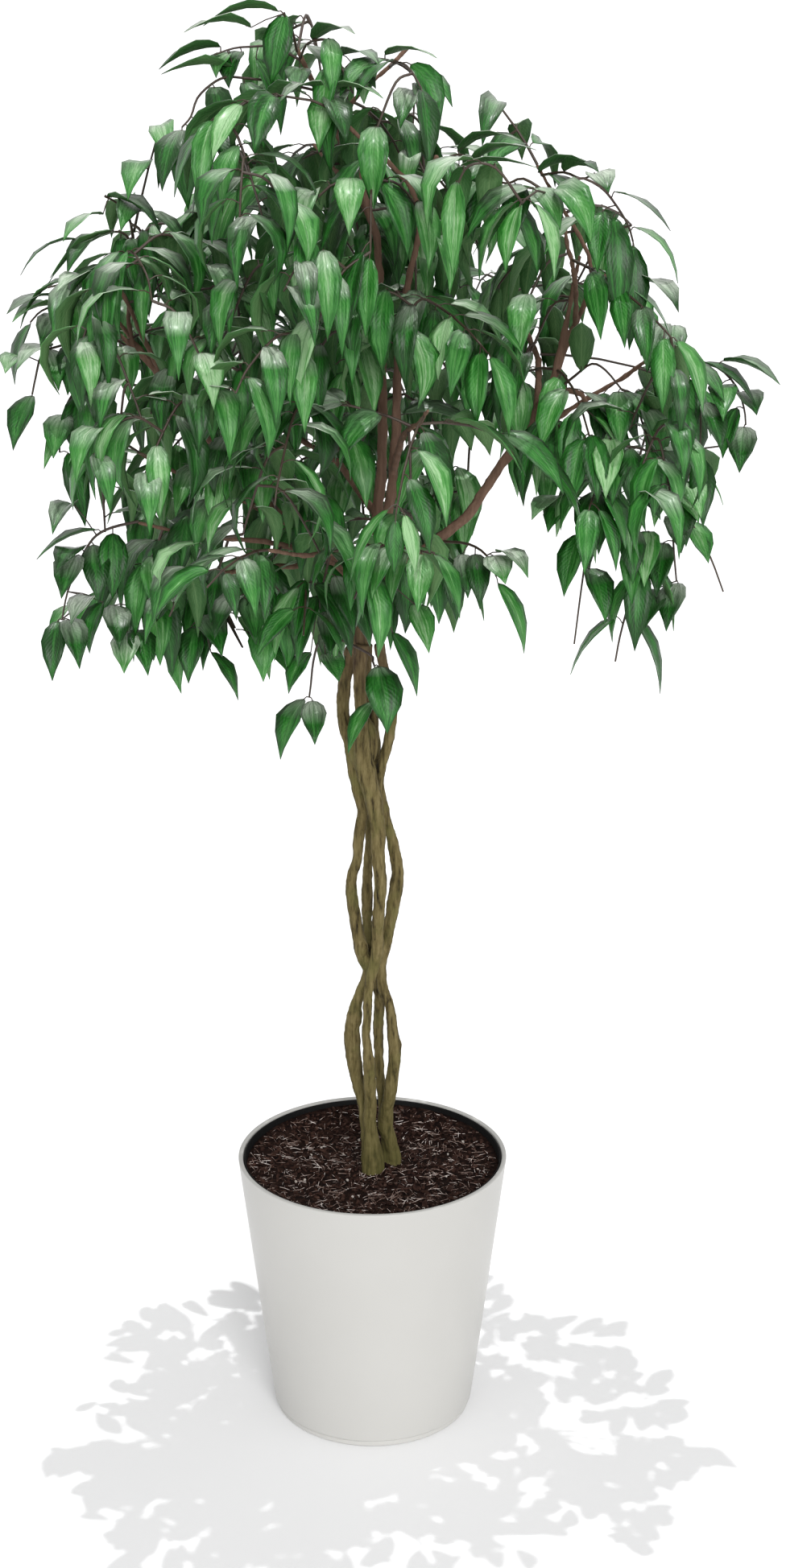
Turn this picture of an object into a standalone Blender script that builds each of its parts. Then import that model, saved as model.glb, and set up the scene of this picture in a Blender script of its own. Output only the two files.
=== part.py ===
# Potted weeping fig: a braided four-strand trunk in a tapered white pot, with
# drooping leafy sprays. Metres, +Z up, the pot's axis on Z and its front at -Y.
import math
import random

import bmesh
import bpy
from mathutils import Matrix, Vector
from mathutils.bvhtree import BVHTree

# Pot, nursery pot and soil
POT_HEIGHT = 0.349
POT_TOP_RADIUS = 0.170
POT_LOW_RADIUS = 0.1284
POT_WALL = 0.0085
POT_FLOOR = 0.010
FOOT_HEIGHT = 0.007
FOOT_INSET = 0.0035
LINER_TOP = 0.3445
LINER_WALL = 0.002
SOIL_TOP = 0.3245
GAP = 0.0003
RING_STEPS = 36

# Two rooted stems: centre of each foot, its radius, and how deep it stands in the soil
FEET = (
    {"x": 0.0020, "y": 0.0040, "radius": 0.0150},
    {"x": 0.0275, "y": 0.0235, "radius": 0.0120},
)
ROOT_DEPTH = 0.060
HOLE_CLEARANCE = 0.0007
# Up each foot: height above the soil, and share of its radius there
FOOT_SHAPE = ((-ROOT_DEPTH, 1.00), (0.000, 1.00), (0.014, 0.95), (0.036, 0.80), (0.060, 0.45))
FORK_HEIGHT = 0.375

# The braid, from its foot up: height, distance of each strand from the middle,
# quarter turns made so far, and the strand's radius there
BRAID = (
    (0.440, 0.0215, 0.00, 0.0076),
    (0.496, 0.0280, 0.00, 0.0080),
    (0.562, 0.0205, 0.10, 0.0074),
    (0.608, 0.0099, 0.50, 0.0066),
    (0.652, 0.0205, 0.90, 0.0078),
    (0.721, 0.0280, 1.00, 0.0086),
    (0.790, 0.0205, 1.10, 0.0086),
    (0.842, 0.0128, 1.50, 0.0085),
    (0.884, 0.0215, 1.90, 0.0084),
    (0.928, 0.0300, 2.00, 0.0080),
    (0.985, 0.0215, 2.10, 0.0080),
    (1.034, 0.0112, 2.50, 0.0073),
    (1.078, 0.0190, 2.85, 0.0076),
)
BRAID_STEP = 0.024
CROWN_STEP = 0.060
LEAN_FROM = 0.780
LEAN_TO = 0.960
LEAN = -0.007

# The four strands: the foot each grows from, its first angle round the trunk,
# how stout it is in the lowest cage, and its way up through the crown
STRANDS = (
    {
        "foot": 0, "angle": 165, "stout": 1.18, "tip_radius": 0.0030,
        "crown": ((0.004, 0.030, 1.140), (0.012, 0.034, 1.210), (0.014, 0.036, 1.310),
                  (0.010, 0.034, 1.400), (0.008, 0.026, 1.490), (-0.014, 0.015, 1.560),
                  (-0.048, 0.000, 1.630), (-0.080, -0.010, 1.700)),
    },
    {
        "foot": 0, "angle": 255, "stout": 0.78, "tip_radius": 0.0028,
        "crown": ((-0.040, 0.012, 1.118), (-0.085, 0.010, 1.152), (-0.150, 0.000, 1.215),
                  (-0.205, -0.010, 1.290), (-0.255, -0.015, 1.355), (-0.300, -0.015, 1.400)),
    },
    {
        "foot": 1, "angle": 345, "stout": 1.05, "tip_radius": 0.0028,
        "crown": ((0.012, -0.026, 1.140), (0.024, -0.024, 1.200), (0.030, -0.028, 1.280),
                  (0.032, -0.042, 1.370), (0.045, -0.060, 1.460), (0.062, -0.075, 1.540),
                  (0.074, -0.085, 1.590)),
    },
    {
        "foot": 1, "angle": 75, "stout": 0.84, "tip_radius": 0.0030,
        "crown": ((0.032, -0.004, 1.112), (0.068, -0.002, 1.136), (0.112, 0.000, 1.170),
                  (0.159, 0.000, 1.243), (0.204, 0.000, 1.314), (0.224, 0.005, 1.370),
                  (0.246, 0.010, 1.420), (0.280, 0.012, 1.462)),
    },
)

# How far the leaves reach from the axis: height, to the left, right, front and back
CROWN = (
    (0.955, 0.05, 0.04, 0.03, 0.05),
    (0.985, 0.34, 0.12, 0.05, 0.26),
    (1.020, 0.385, 0.34, 0.12, 0.33),
    (1.060, 0.390, 0.36, 0.22, 0.37),
    (1.140, 0.390, 0.410, 0.37, 0.40),
    (1.250, 0.385, 0.445, 0.40, 0.42),
    (1.330, 0.415, 0.468, 0.40, 0.42),
    (1.400, 0.415, 0.375, 0.38, 0.40),
    (1.460, 0.395, 0.350, 0.35, 0.36),
    (1.530, 0.325, 0.325, 0.30, 0.30),
    (1.600, 0.245, 0.215, 0.24, 0.24),
    (1.660, 0.235, 0.125, 0.18, 0.18),
    (1.725, 0.205, 0.080, 0.12, 0.12),
    (1.752, 0.160, 0.030, 0.08, 0.08),
)
CROWN_SQUARENESS = 2.6
CROWN_SLACK = 1.03
# Open places in the crown, where the wood shows: x, z of the middle, half width, half height
OPENINGS = ((0.155, 1.185, 0.055, 0.075),)

# Boughs are set round the trunk by the golden angle, from the lowest tip to the highest,
# after those that make the outline, given by azimuth and tip height
OUTLINE_BOUGHS = ((-3, 1.370), (178, 1.405), (168, 1.080), (196, 1.110), (-8, 1.180), (184, 1.500),
                  (4, 1.470), (184, 1.250), (215, 1.130), (8, 1.570), (180, 1.170))
# Low boughs to the right grow from the right-hand branch, beyond the opening under it
RIGHT_BOUGHS = {"within": 20, "below": 1.300, "strand": 3, "root": 1.305, "step": 0.020}
BOUGH_COUNT = 22
BOUGH_TIPS = (1.110, 1.700)
BOUGH_FIRST_ANGLE = 20
GOLDEN_ANGLE = 137.508
FRONT_TIPS_FROM = 1.190
TWIG_SPAN = 0.120
BOUGH_RADIUS = 0.0046
BOUGH_TIP_RADIUS = 0.0022
BOUGH_STEPS = 4

# Short shoots low on the trunk: strand, height, azimuth
LOW_SHOOTS = (
    (1, 1.052, 205),
    (2, 1.085, -75),
)

# Sprays and their leaves
MOST_SPRAYS = 53
TWIG_LENGTH = 0.150
TWIG_RADIUS = 0.0017
TWIG_TIP_RADIUS = 0.0010
PAIRS_PER_TWIG = (4, 4, 5)
LEAF_LENGTH = 0.091
LEAF_WIDTH = 0.037
LEAF_RIDGE = 0.00175
PETIOLE = 0.012
# Along the blade: fraction of its length and share of its half width
LEAF_SHAPE = ((0.00, 0.06), (0.33, 1.00), (0.74, 0.52))
MOST_TRIES = 30
SIDE_TRIES = 60
DEPTH_WEIGHT = 0.55
SIDE_SPRAYS_FROM = 1.120
TWIG_MARGIN = 0.010
SEED = 25

PAINT = {
    "pot": ((0.76, 0.75, 0.71), 0.42, 0.0),
    "liner": ((0.012, 0.012, 0.013), 0.55, 0.0),
    "soil": ((0.035, 0.022, 0.017), 0.95, 0.0),
    "bark": ((0.17, 0.115, 0.058), 0.80, 0.0),
    "leaf": ((0.030, 0.155, 0.045), 0.45, 0.0),
}


def clear_scene():
    for obj in list(bpy.data.objects):
        bpy.data.objects.remove(obj, do_unlink=True)


def new_collection(name):
    collection = bpy.data.collections.new(name)
    bpy.context.scene.collection.children.link(collection)
    return collection


def new_material(name, kind):
    colour, roughness, metallic = PAINT[kind]
    material = bpy.data.materials.new(name)
    material.use_nodes = True
    shader = material.node_tree.nodes["Principled BSDF"]
    shader.inputs["Base Color"].default_value = (*colour, 1.0)
    shader.inputs["Roughness"].default_value = roughness
    shader.inputs["Metallic"].default_value = metallic
    material.diffuse_color = (*colour, 1.0)
    return material


def add_object(name, mesh, kind, collection):
    obj = bpy.data.objects.new(name, mesh)
    mesh.name = name
    mesh.materials.clear()
    mesh.materials.append(new_material(name, kind))
    collection.objects.link(obj)
    return obj


def evaluated_mesh(obj):
    bpy.context.view_layer.update()
    graph = bpy.context.evaluated_depsgraph_get()
    return bpy.data.meshes.new_from_object(obj.evaluated_get(graph))


def smooth_sides(mesh, angle):
    mesh.shade_smooth()
    mesh.set_sharp_from_angle(angle=math.radians(angle))


# Turned pieces


def turned(name, profile, kind, collection, steps=RING_STEPS):
    """A profile of (radius, height) points turned about Z."""
    mesh = bpy.data.meshes.new(name)
    edges = [(i, i + 1) for i in range(len(profile) - 1)]
    mesh.from_pydata([(r, 0.0, z) for r, z in profile], edges, [])
    obj = bpy.data.objects.new(name + "_profile", mesh)
    collection.objects.link(obj)
    screw = obj.modifiers.new("Turn", "SCREW")
    screw.steps = steps
    screw.render_steps = steps
    screw.use_merge_vertices = True
    screw.merge_threshold = 0.00005
    result = evaluated_mesh(obj)
    bpy.data.objects.remove(obj, do_unlink=True)
    smooth_sides(result, 35)
    return add_object(name, result, kind, collection)


def pot_outer(z):
    share = (z - FOOT_HEIGHT) / (POT_HEIGHT - FOOT_HEIGHT)
    return POT_LOW_RADIUS + (POT_TOP_RADIUS - POT_LOW_RADIUS) * share


def pot_inner(z):
    return pot_outer(z) - POT_WALL


def liner_outer(z):
    return pot_inner(z) - 2 * GAP


def build_pot(collection):
    top = POT_HEIGHT
    low = FOOT_HEIGHT
    profile = [
        (0.0, POT_FLOOR),
        (pot_inner(POT_FLOOR) - 0.004, POT_FLOOR),
        (pot_inner(POT_FLOOR + 0.004), POT_FLOOR + 0.004),
        (pot_inner(top - 0.003), top - 0.003),
        (pot_inner(top) + 0.0010, top - 0.0007),
        (pot_inner(top) + 0.0028, top),
        (pot_outer(top) - 0.0028, top),
        (pot_outer(top) - 0.0008, top - 0.0008),
        (pot_outer(top - 0.003), top - 0.003),
        (pot_outer(low + 0.006), low + 0.006),
        (pot_outer(low + 0.003) - 0.0012, low + 0.0018),
        (POT_LOW_RADIUS - FOOT_INSET, low),
        (POT_LOW_RADIUS - FOOT_INSET, 0.0),
        (0.0, 0.0),
    ]
    return turned("pot", profile, "pot", collection)


def build_liner(collection):
    base = POT_FLOOR + GAP
    turn = base + 0.005
    profile = [
        (0.0, base + LINER_WALL),
        (liner_outer(turn) - LINER_WALL - 0.0025, base + LINER_WALL),
        (liner_outer(turn) - LINER_WALL, turn),
        (liner_outer(LINER_TOP) - LINER_WALL, LINER_TOP - 0.0006),
        (liner_outer(LINER_TOP) - 0.0010, LINER_TOP),
        (liner_outer(LINER_TOP - 0.001), LINER_TOP - 0.001),
        (liner_outer(turn), turn),
        (liner_outer(turn) - 0.005, base),
        (0.0, base),
    ]
    return turned("nursery_pot", profile, "liner", collection)


def soil_bump(x, y):
    """Height of the soil's gentle lumps at a place, in metres."""
    waves = math.sin(71 * x + 1.3) * math.cos(63 * y - 0.4)
    waves += 0.6 * math.sin(137 * x - 90 * y + 0.7)
    mound = 0.0025 * max(0.0, 1 - math.hypot(x, y) / 0.10)
    return 0.0009 * waves + mound


def build_soil(collection, holes):
    base = POT_FLOOR + GAP + LINER_WALL + GAP
    turn = base + 0.006
    rim = liner_outer(SOIL_TOP) - LINER_WALL - GAP
    rings = 3
    profile = [(0.0, SOIL_TOP)]
    for ring in range(1, rings + 1):
        profile.append((rim * ring / rings, SOIL_TOP))
    profile.append((liner_outer(turn) - LINER_WALL - GAP, turn))
    profile.append((liner_outer(turn) - LINER_WALL - 0.0055, base))
    profile.append((0.0, base))
    soil = turned("soil", profile, "soil", collection)
    for vertex in soil.data.vertices:
        if vertex.co.z > SOIL_TOP - 0.001:
            vertex.co.z += soil_bump(vertex.co.x, vertex.co.y)
    for foot in FEET:
        depth = ROOT_DEPTH + 0.06
        bpy.ops.mesh.primitive_cylinder_add(
            vertices=16,
            radius=foot["radius"] + HOLE_CLEARANCE,
            depth=depth,
            location=(foot["x"], foot["y"], SOIL_TOP - ROOT_DEPTH - GAP + depth / 2),
        )
        cutter = bpy.context.object
        cutter.name = "stem_hole"
        cutter.hide_render = True
        cutter.display_type = "WIRE"
        for owner in list(cutter.users_collection):
            owner.objects.unlink(cutter)
        holes.objects.link(cutter)
        cut = soil.modifiers.new("Stem hole", "BOOLEAN")
        cut.operation = "DIFFERENCE"
        cut.solver = "EXACT"
        cut.object = cutter
    return soil


# Wood: paths, tubes and their union


def smooth_path(points, step, high_step):
    """Points about one step apart on a smooth curve through the given ones, wider apart above the braid."""
    ends = [points[0] * 2 - points[1]] + list(points) + [points[-1] * 2 - points[-2]]
    path = []
    for a, b, c, d in zip(ends, ends[1:], ends[2:], ends[3:]):
        wanted = step if b.z < BRAID[-1][0] - 0.001 else high_step
        count = max(1, round((c - b).length / wanted))
        for i in range(count):
            t = i / count
            path.append(0.5 * (2 * b + (c - a) * t + (2 * a - 5 * b + 4 * c - d) * t ** 2
                               + (3 * b - a - 3 * c + d) * t ** 3))
    path.append(points[-1].copy())
    return path


def lean_at(z):
    share = min(1.0, max(0.0, (z - LEAN_FROM) / (LEAN_TO - LEAN_FROM)))
    return LEAN * share * share * (3 - 2 * share)


def braid_point(strand, row):
    height, reach, turns, _ = row
    angle = math.radians(strand["angle"] + 90 * turns)
    return Vector((lean_at(height) + reach * math.cos(angle), reach * math.sin(angle), height))


def strand_line(strand):
    """The strand's path from inside its foot to its tip, and its radius at each point."""
    foot = FEET[strand["foot"]]
    first = braid_point(strand, BRAID[0])
    start = Vector((foot["x"], foot["y"], SOIL_TOP + 0.012))
    start += 0.12 * (Vector((first.x, first.y, 0.0)) - Vector((foot["x"], foot["y"], 0.0)))
    knots = [start, start.lerp(first, 0.45)] + [braid_point(strand, row) for row in BRAID]
    knots[1].z = FORK_HEIGHT
    knots += [Vector(point) for point in strand["crown"]]
    path = smooth_path(knots, BRAID_STEP, CROWN_STEP)
    top = path[-1].z
    radii = []
    for point in path:
        radii.append(strand_radius(strand, point.z, top))
    return path, radii


def strand_radius(strand, z, top):
    if z <= BRAID[0][0]:
        radius = BRAID[0][3]
    elif z >= BRAID[-1][0]:
        share = (z - BRAID[-1][0]) / (top - BRAID[-1][0])
        radius = BRAID[-1][3] + (strand["tip_radius"] - BRAID[-1][3]) * share
    else:
        for low, high in zip(BRAID, BRAID[1:]):
            if low[0] <= z <= high[0]:
                share = (z - low[0]) / (high[0] - low[0])
                radius = low[3] + (high[3] - low[3]) * share
    if z < 0.56:
        radius *= strand["stout"]
    return radius


def point_at_height(path, radii, height):
    for i in range(len(path) - 1):
        if path[i].z <= height <= path[i + 1].z:
            share = (height - path[i].z) / (path[i + 1].z - path[i].z)
            tangent = (path[i + 1] - path[i]).normalized()
            return path[i].lerp(path[i + 1], share), radii[i], tangent
    return path[-1].copy(), radii[-1], (path[-1] - path[-2]).normalized()


def crown_reach(height, azimuth):
    """How far the leaves reach from the axis at a height, towards an azimuth in radians."""
    if height <= CROWN[0][0] or height >= CROWN[-1][0]:
        return 0.0
    for low, high in zip(CROWN, CROWN[1:]):
        if low[0] <= height <= high[0]:
            share = (height - low[0]) / (high[0] - low[0])
            left, right, front, back = [a + (b - a) * share for a, b in zip(low[1:], high[1:])]
    wide = right if math.cos(azimuth) > 0 else left
    deep = back if math.sin(azimuth) > 0 else front
    across = abs(math.cos(azimuth) / wide) ** CROWN_SQUARENESS
    along = abs(math.sin(azimuth) / deep) ** CROWN_SQUARENESS
    return (across + along) ** (-1 / CROWN_SQUARENESS)


def in_crown(point):
    """Whether a point of a leaf lies within the crown's outline and out of its openings."""
    reach = crown_reach(point.z, math.atan2(point.y, point.x))
    if math.hypot(point.x, point.y) > reach * CROWN_SLACK:
        return False
    for x, z, half_width, half_height in OPENINGS:
        if abs(point.x - x) < half_width and abs(point.z - z) < half_height:
            return False
    return True


def bough_line(line, root_height, tip):
    """A bough's path from inside its strand, out and up, levelling off at its tip."""
    root, parent_radius, tangent = point_at_height(*line, root_height)
    out = tip - root
    span = out.length
    out.normalize()
    rise = (out * 0.75 + tangent * 0.55 + Vector((0, 0, 0.25))).normalized()
    start_pull = root + rise * span * 0.38
    end_pull = tip - (out * 0.92 + Vector((0, 0, 0.10))).normalized() * span * 0.34
    path = []
    for i in range(BOUGH_STEPS + 1):
        t = i / BOUGH_STEPS
        path.append((1 - t) ** 3 * root + 3 * (1 - t) ** 2 * t * start_pull
                    + 3 * (1 - t) * t ** 2 * end_pull + t ** 3 * tip)
    first = min(BOUGH_RADIUS, parent_radius * 0.85)
    radii = [first + (BOUGH_TIP_RADIUS - first) * i / BOUGH_STEPS for i in range(BOUGH_STEPS + 1)]
    return path, radii


def mesh_tree(mesh):
    points = [vertex.co.copy() for vertex in mesh.vertices]
    return BVHTree.FromPolygons(points, [tuple(face.vertices) for face in mesh.polygons])


def plan_boughs(lines, meshes, rng):
    """Boughs as (strand, path, mesh), each from the nearest strand and clear of all the others."""
    trees = [(index, mesh_tree(mesh)) for index, mesh in enumerate(meshes)]
    boughs = []
    for number in range(BOUGH_COUNT):
        for attempt in range(MOST_TRIES):
            if number < len(OUTLINE_BOUGHS):
                turn, height = OUTLINE_BOUGHS[number]
            else:
                share = (number - len(OUTLINE_BOUGHS)) / (BOUGH_COUNT - len(OUTLINE_BOUGHS) - 1)
                turn = BOUGH_FIRST_ANGLE + GOLDEN_ANGLE * number
                height = BOUGH_TIPS[0] + (BOUGH_TIPS[1] - BOUGH_TIPS[0]) * share
            azimuth = math.radians(turn) + rng.uniform(-0.02, 0.02) * attempt
            height += rng.uniform(-0.002, 0.002) * attempt
            if math.sin(azimuth) < -0.3:
                height = max(height, FRONT_TIPS_FROM)
            reach = max(0.05, crown_reach(height - 0.03, azimuth) - TWIG_SPAN)
            tip = Vector((reach * math.cos(azimuth), reach * math.sin(azimuth), height))
            choices = []
            for index, (path, radii) in enumerate(lines):
                sink = rng.uniform(0.05, 0.10)
                root_height = min(max(1.085, height - sink - 0.18 * reach), path[-1].z - 0.03)
                root = point_at_height(path, radii, root_height)[0]
                choices.append(((root - tip).length, index, root_height))
            _, index, root_height = sorted(choices)[0 if attempt < 8 else 1]
            aside = math.degrees(math.acos(math.cos(azimuth)))
            if height < RIGHT_BOUGHS["below"] and aside < RIGHT_BOUGHS["within"]:
                index = RIGHT_BOUGHS["strand"]
                root_height = RIGHT_BOUGHS["root"] + RIGHT_BOUGHS["step"] * (number % 3)
            path, radii = bough_line(lines[index], root_height, tip)
            mesh = tube_mesh(path, radii, 1)
            tree = mesh_tree(mesh)
            if not any(owner != index and tree.overlap(other) for owner, other in trees):
                trees.append((-1 - number, tree))
                boughs.append((index, path, mesh))
                break
    return boughs


def tube_mesh(path, radii, resolution):
    """A closed tube along the path, from a curve with a round bevel."""
    curve = bpy.data.curves.new("tube", "CURVE")
    curve.dimensions = "3D"
    curve.bevel_depth = 1.0
    curve.bevel_resolution = resolution
    curve.use_fill_caps = True
    spline = curve.splines.new("POLY")
    spline.points.add(len(path) - 1)
    for spot, place, radius in zip(spline.points, path, radii):
        spot.co = (*place, 1.0)
        spot.radius = radius
    obj = bpy.data.objects.new("tube", curve)
    bpy.context.scene.collection.objects.link(obj)
    mesh = evaluated_mesh(obj)
    bpy.data.objects.remove(obj, do_unlink=True)
    bm = bmesh.new()
    bm.from_mesh(mesh)
    bmesh.ops.remove_doubles(bm, verts=bm.verts, dist=0.000005)
    bmesh.ops.recalc_face_normals(bm, faces=bm.faces)
    bm.to_mesh(mesh)
    bm.free()
    return mesh


def fused(name, meshes, kind, collection):
    """One body from overlapping closed meshes."""
    helpers = new_collection(name + "_pieces")
    base = bpy.data.objects.new(name + "_base", meshes[0])
    bpy.context.scene.collection.objects.link(base)
    for i, mesh in enumerate(meshes[1:]):
        helpers.objects.link(bpy.data.objects.new(f"{name}_piece_{i}", mesh))
    join = base.modifiers.new("Join", "BOOLEAN")
    join.operation = "UNION"
    join.operand_type = "COLLECTION"
    join.solver = "EXACT"
    join.collection = helpers
    result = evaluated_mesh(base)
    for obj in [base, *helpers.objects]:
        bpy.data.objects.remove(obj, do_unlink=True)
    bpy.data.collections.remove(helpers)
    bm = bmesh.new()
    bm.from_mesh(result)
    bmesh.ops.remove_doubles(bm, verts=bm.verts, dist=0.00002)
    bmesh.ops.dissolve_degenerate(bm, edges=bm.edges, dist=0.00002)
    bm.to_mesh(result)
    bm.free()
    smooth_sides(result, 50)
    return add_object(name, result, kind, collection)


def foot_mesh(foot, strand_lines):
    """The flared foot of a rooted stem, which narrows into the fork of its two strands."""
    path = []
    for height, _ in FOOT_SHAPE:
        centre = Vector((foot["x"], foot["y"], SOIL_TOP + height))
        if height > 0:
            fork = [point_at_height(*line, centre.z)[0] for line in strand_lines]
            centre = centre.lerp(sum(fork, Vector()) / len(fork), min(1.0, height / 0.030))
        path.append(centre)
    return tube_mesh(path, [foot["radius"] * share for _, share in FOOT_SHAPE], 2)


def build_wood(collection, rng):
    """Two rooted stems, each with two strands and their boughs. Returns the lines too."""
    lines = [strand_line(strand) for strand in STRANDS]
    meshes = [tube_mesh(*line, 1) for line in lines]
    boughs = plan_boughs(lines, meshes, rng)
    stems = []
    for number, foot in enumerate(FEET):
        own = [line for line, strand in zip(lines, STRANDS) if strand["foot"] == number]
        pieces = [foot_mesh(foot, own)]
        for index, strand in enumerate(STRANDS):
            if strand["foot"] == number:
                pieces.append(meshes[index])
                pieces += [mesh for owner, _, mesh in boughs if owner == index]
        stems.append(fused(f"stem_{'ab'[number]}", pieces, "bark", collection))
    return lines, boughs, stems


# Sprays: a three-sided twig with leaves drawn out of its sides


def arch(start, heading, length, droop, steps):
    """A path that sets out along its heading and sinks under its weight."""
    path = [start.copy()]
    aim = heading.normalized()
    for _ in range(steps):
        aim = (aim + Vector((0, 0, -droop / steps))).normalized()
        path.append(path[-1] + aim * length / steps)
    return path


def sample(path, share):
    """Place and direction at a share of an evenly stepped path."""
    steps = len(path) - 1
    spot = min(max(share, 0.0), 1.0) * steps
    index = min(int(spot), steps - 1)
    tangent = (path[index + 1] - path[index]).normalized()
    return path[index].lerp(path[index + 1], spot - index), tangent


def level_side(tangent, spare):
    """The level direction to the left of a tangent, or the spare one where it points straight down."""
    side = Vector((0, 0, 1)).cross(tangent)
    if side.length < 0.15:
        side = spare - tangent * spare.dot(tangent)
    return side.normalized()


def twig_frame(spray, share):
    """Place, tangent, left and up of a twig at a share of its length."""
    place, tangent = sample(spray["path"], share)
    left = level_side(tangent, spray["side"])
    left = (left - tangent * left.dot(tangent)).normalized()
    return place, tangent, left, tangent.cross(left)


def twig_ring(spray, share):
    """Three corners round the twig, counter-clockwise seen from its tip: top, left, right."""
    place, _, left, up = twig_frame(spray, share)
    radius = TWIG_RADIUS + (TWIG_TIP_RADIUS - TWIG_RADIUS) * share
    corners = []
    for angle in (90, 210, 330):
        turn = math.radians(angle)
        corners.append(place + (left * math.cos(turn) + up * math.sin(turn)) * radius)
    return corners


def draw_out(bm, face, corners):
    """Extrudes a face and puts the new face's corners where they are wanted."""
    face = bmesh.ops.extrude_discrete_faces(bm, faces=[face])["faces"][0]
    for loop, corner in zip(face.loops, corners):
        loop.vert.co = corner
    return face


def twig_shares(spray):
    """Where the twig's rings lie: a short collar for each pair of leaves."""
    half = 0.0022 / spray["length"]
    shares = [0.0]
    pairs = spray["pairs"]
    for i in range(pairs):
        middle = spray["bare"] + (0.93 - spray["bare"]) * i / max(1, pairs - 1)
        shares += [middle - half, middle + half]
    return shares + [1.0]


def grow_twig(spray):
    """Draws a twig out of a three-sided prism and notes the collars that leaves grow from."""
    shares = twig_shares(spray)
    bm = bmesh.new()
    bmesh.ops.create_cone(bm, cap_ends=True, segments=3, radius1=0.001, radius2=0.001, depth=0.002)
    face = next(f for f in bm.faces if f.normal.z > 0.9)
    tops = [loop.vert for loop in face.loops]
    rings = [twig_ring(spray, share) for share in shares]
    for vertex, low, high in zip(tops, rings[0], rings[1]):
        ends = [edge.other_vert(vertex) for edge in vertex.link_edges]
        under = next(end for end in ends if end not in tops)
        under.co = low
        vertex.co = high
    collars = []
    for index in range(2, len(shares)):
        lower = [loop.vert for loop in face.loops]
        face = draw_out(bm, face, rings[index])
        upper = [loop.vert for loop in face.loops]
        if index % 2 == 0 and index < len(shares) - 1:
            collars.append((shares[index], lower, upper))
    spray.update({"bm": bm, "collars": collars, "cap": face})
    points = [vertex.co.copy() for vertex in bm.verts]
    bm.normal_update()
    spray["tree"] = BVHTree.FromBMesh(bm)
    spray["centre"] = sum(points, Vector()) / len(points)
    spray["around"] = max((point - spray["centre"]).length for point in points)


def leaf_sections(leaf, shape):
    """Middle, half-width vector and upward normal at each station of a blade, and its tip."""
    total = leaf["petiole"] + leaf["length"]
    path = arch(leaf["base"], leaf["heading"], total, leaf["droop"], 16)
    left = level_side(leaf["heading"].normalized(), leaf["side"])
    sections = []
    for share, width in shape:
        middle, tangent = sample(path, (leaf["petiole"] + leaf["length"] * share) / total)
        across = (left - tangent * left.dot(tangent)).normalized()
        turn = leaf["roll"] * min(1.0, 0.3 + share * 2)
        side = across * math.cos(turn) + tangent.cross(across) * math.sin(turn)
        sections.append((middle, side * 0.5 * leaf["width"] * width, tangent.cross(side)))
    return sections, path[-1]


def leaf_rings(leaf):
    """Three-cornered sections, counter-clockwise seen from the leaf's tip: edge, ridge, edge."""
    sections, tip = leaf_sections(leaf, LEAF_SHAPE)
    rings = []
    for place, (middle, half, up) in enumerate(sections):
        if place == 0:
            half = half.normalized() * 0.0009
        rings.append([middle + half, middle + up * (LEAF_RIDGE if place else 0.0013), middle - half])
    return rings, tip


def counted_from(rings, start):
    return [ring[start:] + ring[:start] for ring in rings]


def turned_to_fit(base, rings):
    """The rings with their corners in the order that twists least from the base corners."""
    low = sum(base, Vector()) / 3
    high = sum(rings[0], Vector()) / 3

    def likeness(start):
        order = counted_from(rings[:1], start)[0]
        return sum((a - low).normalized().dot((b - high).normalized()) for a, b in zip(base, order))

    return counted_from(rings, max(range(3), key=likeness))


def leaf_surface(base, rings, tip):
    """Points and faces of the leaf from just outside its twig, for the crossing test."""
    loops = [[a.lerp(b, 0.2) for a, b in zip(base, rings[0])]] + rings
    points = [point for loop in loops for point in loop] + [tip]
    faces = [(2, 1, 0)]
    for i in range(len(loops) - 1):
        for k in range(3):
            a = 3 * i + k
            b = 3 * i + (k + 1) % 3
            faces += [(a, b, b + 3), (a, b + 3, a + 3)]
    last = 3 * (len(loops) - 1)
    faces += [(last + k, last + (k + 1) % 3, len(points) - 1) for k in range(3)]
    return points, faces


def is_clear(tree, centre, around, others):
    """Whether a surface crosses none of the others, given as (tree, centre, reach)."""
    for other, middle, reach in others:
        if (middle - centre).length < around + reach and tree.overlap(other):
            return False
    return True


def try_leaf(leaf, base, others):
    """The leaf's rings and tip if it crosses nothing, with its search tree."""
    rings, tip = leaf_rings(leaf)
    rings = turned_to_fit(base, rings)
    points, faces = leaf_surface(base, rings, tip)
    if not leaf["free"] and not all(in_crown(point) for point in points):
        return None
    centre = sum(points, Vector()) / len(points)
    around = max((point - centre).length for point in points)
    tree = BVHTree.FromPolygons(points, faces)
    if not is_clear(tree, centre, around, others):
        return None
    return rings, tip, (tree, centre, around)


def draw_leaf(bm, face, rings, tip):
    for ring in rings:
        face = draw_out(bm, face, ring)
    point = bmesh.ops.poke(bm, faces=[face])["verts"][0]
    point.co = tip


def collar_face(bm, lower, upper, left_side):
    """The half of a collar's side that a leaf leaves from; the two sides share no corner."""
    if left_side:
        quad_verts = [lower[2], lower[0], upper[0], upper[2]]
        diagonal = (upper[0], lower[2])
        wanted = {upper[0], upper[2], lower[2]}
    else:
        quad_verts = [lower[0], lower[1], upper[1], upper[0]]
        diagonal = (lower[0], upper[1])
        wanted = {lower[0], lower[1], upper[1]}
    quad = next(f for f in lower[0].link_faces if set(f.verts) == set(quad_verts))
    split = bmesh.utils.face_split(quad, diagonal[0], diagonal[1])[0]
    return split if set(split.verts) == wanted else quad


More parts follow.
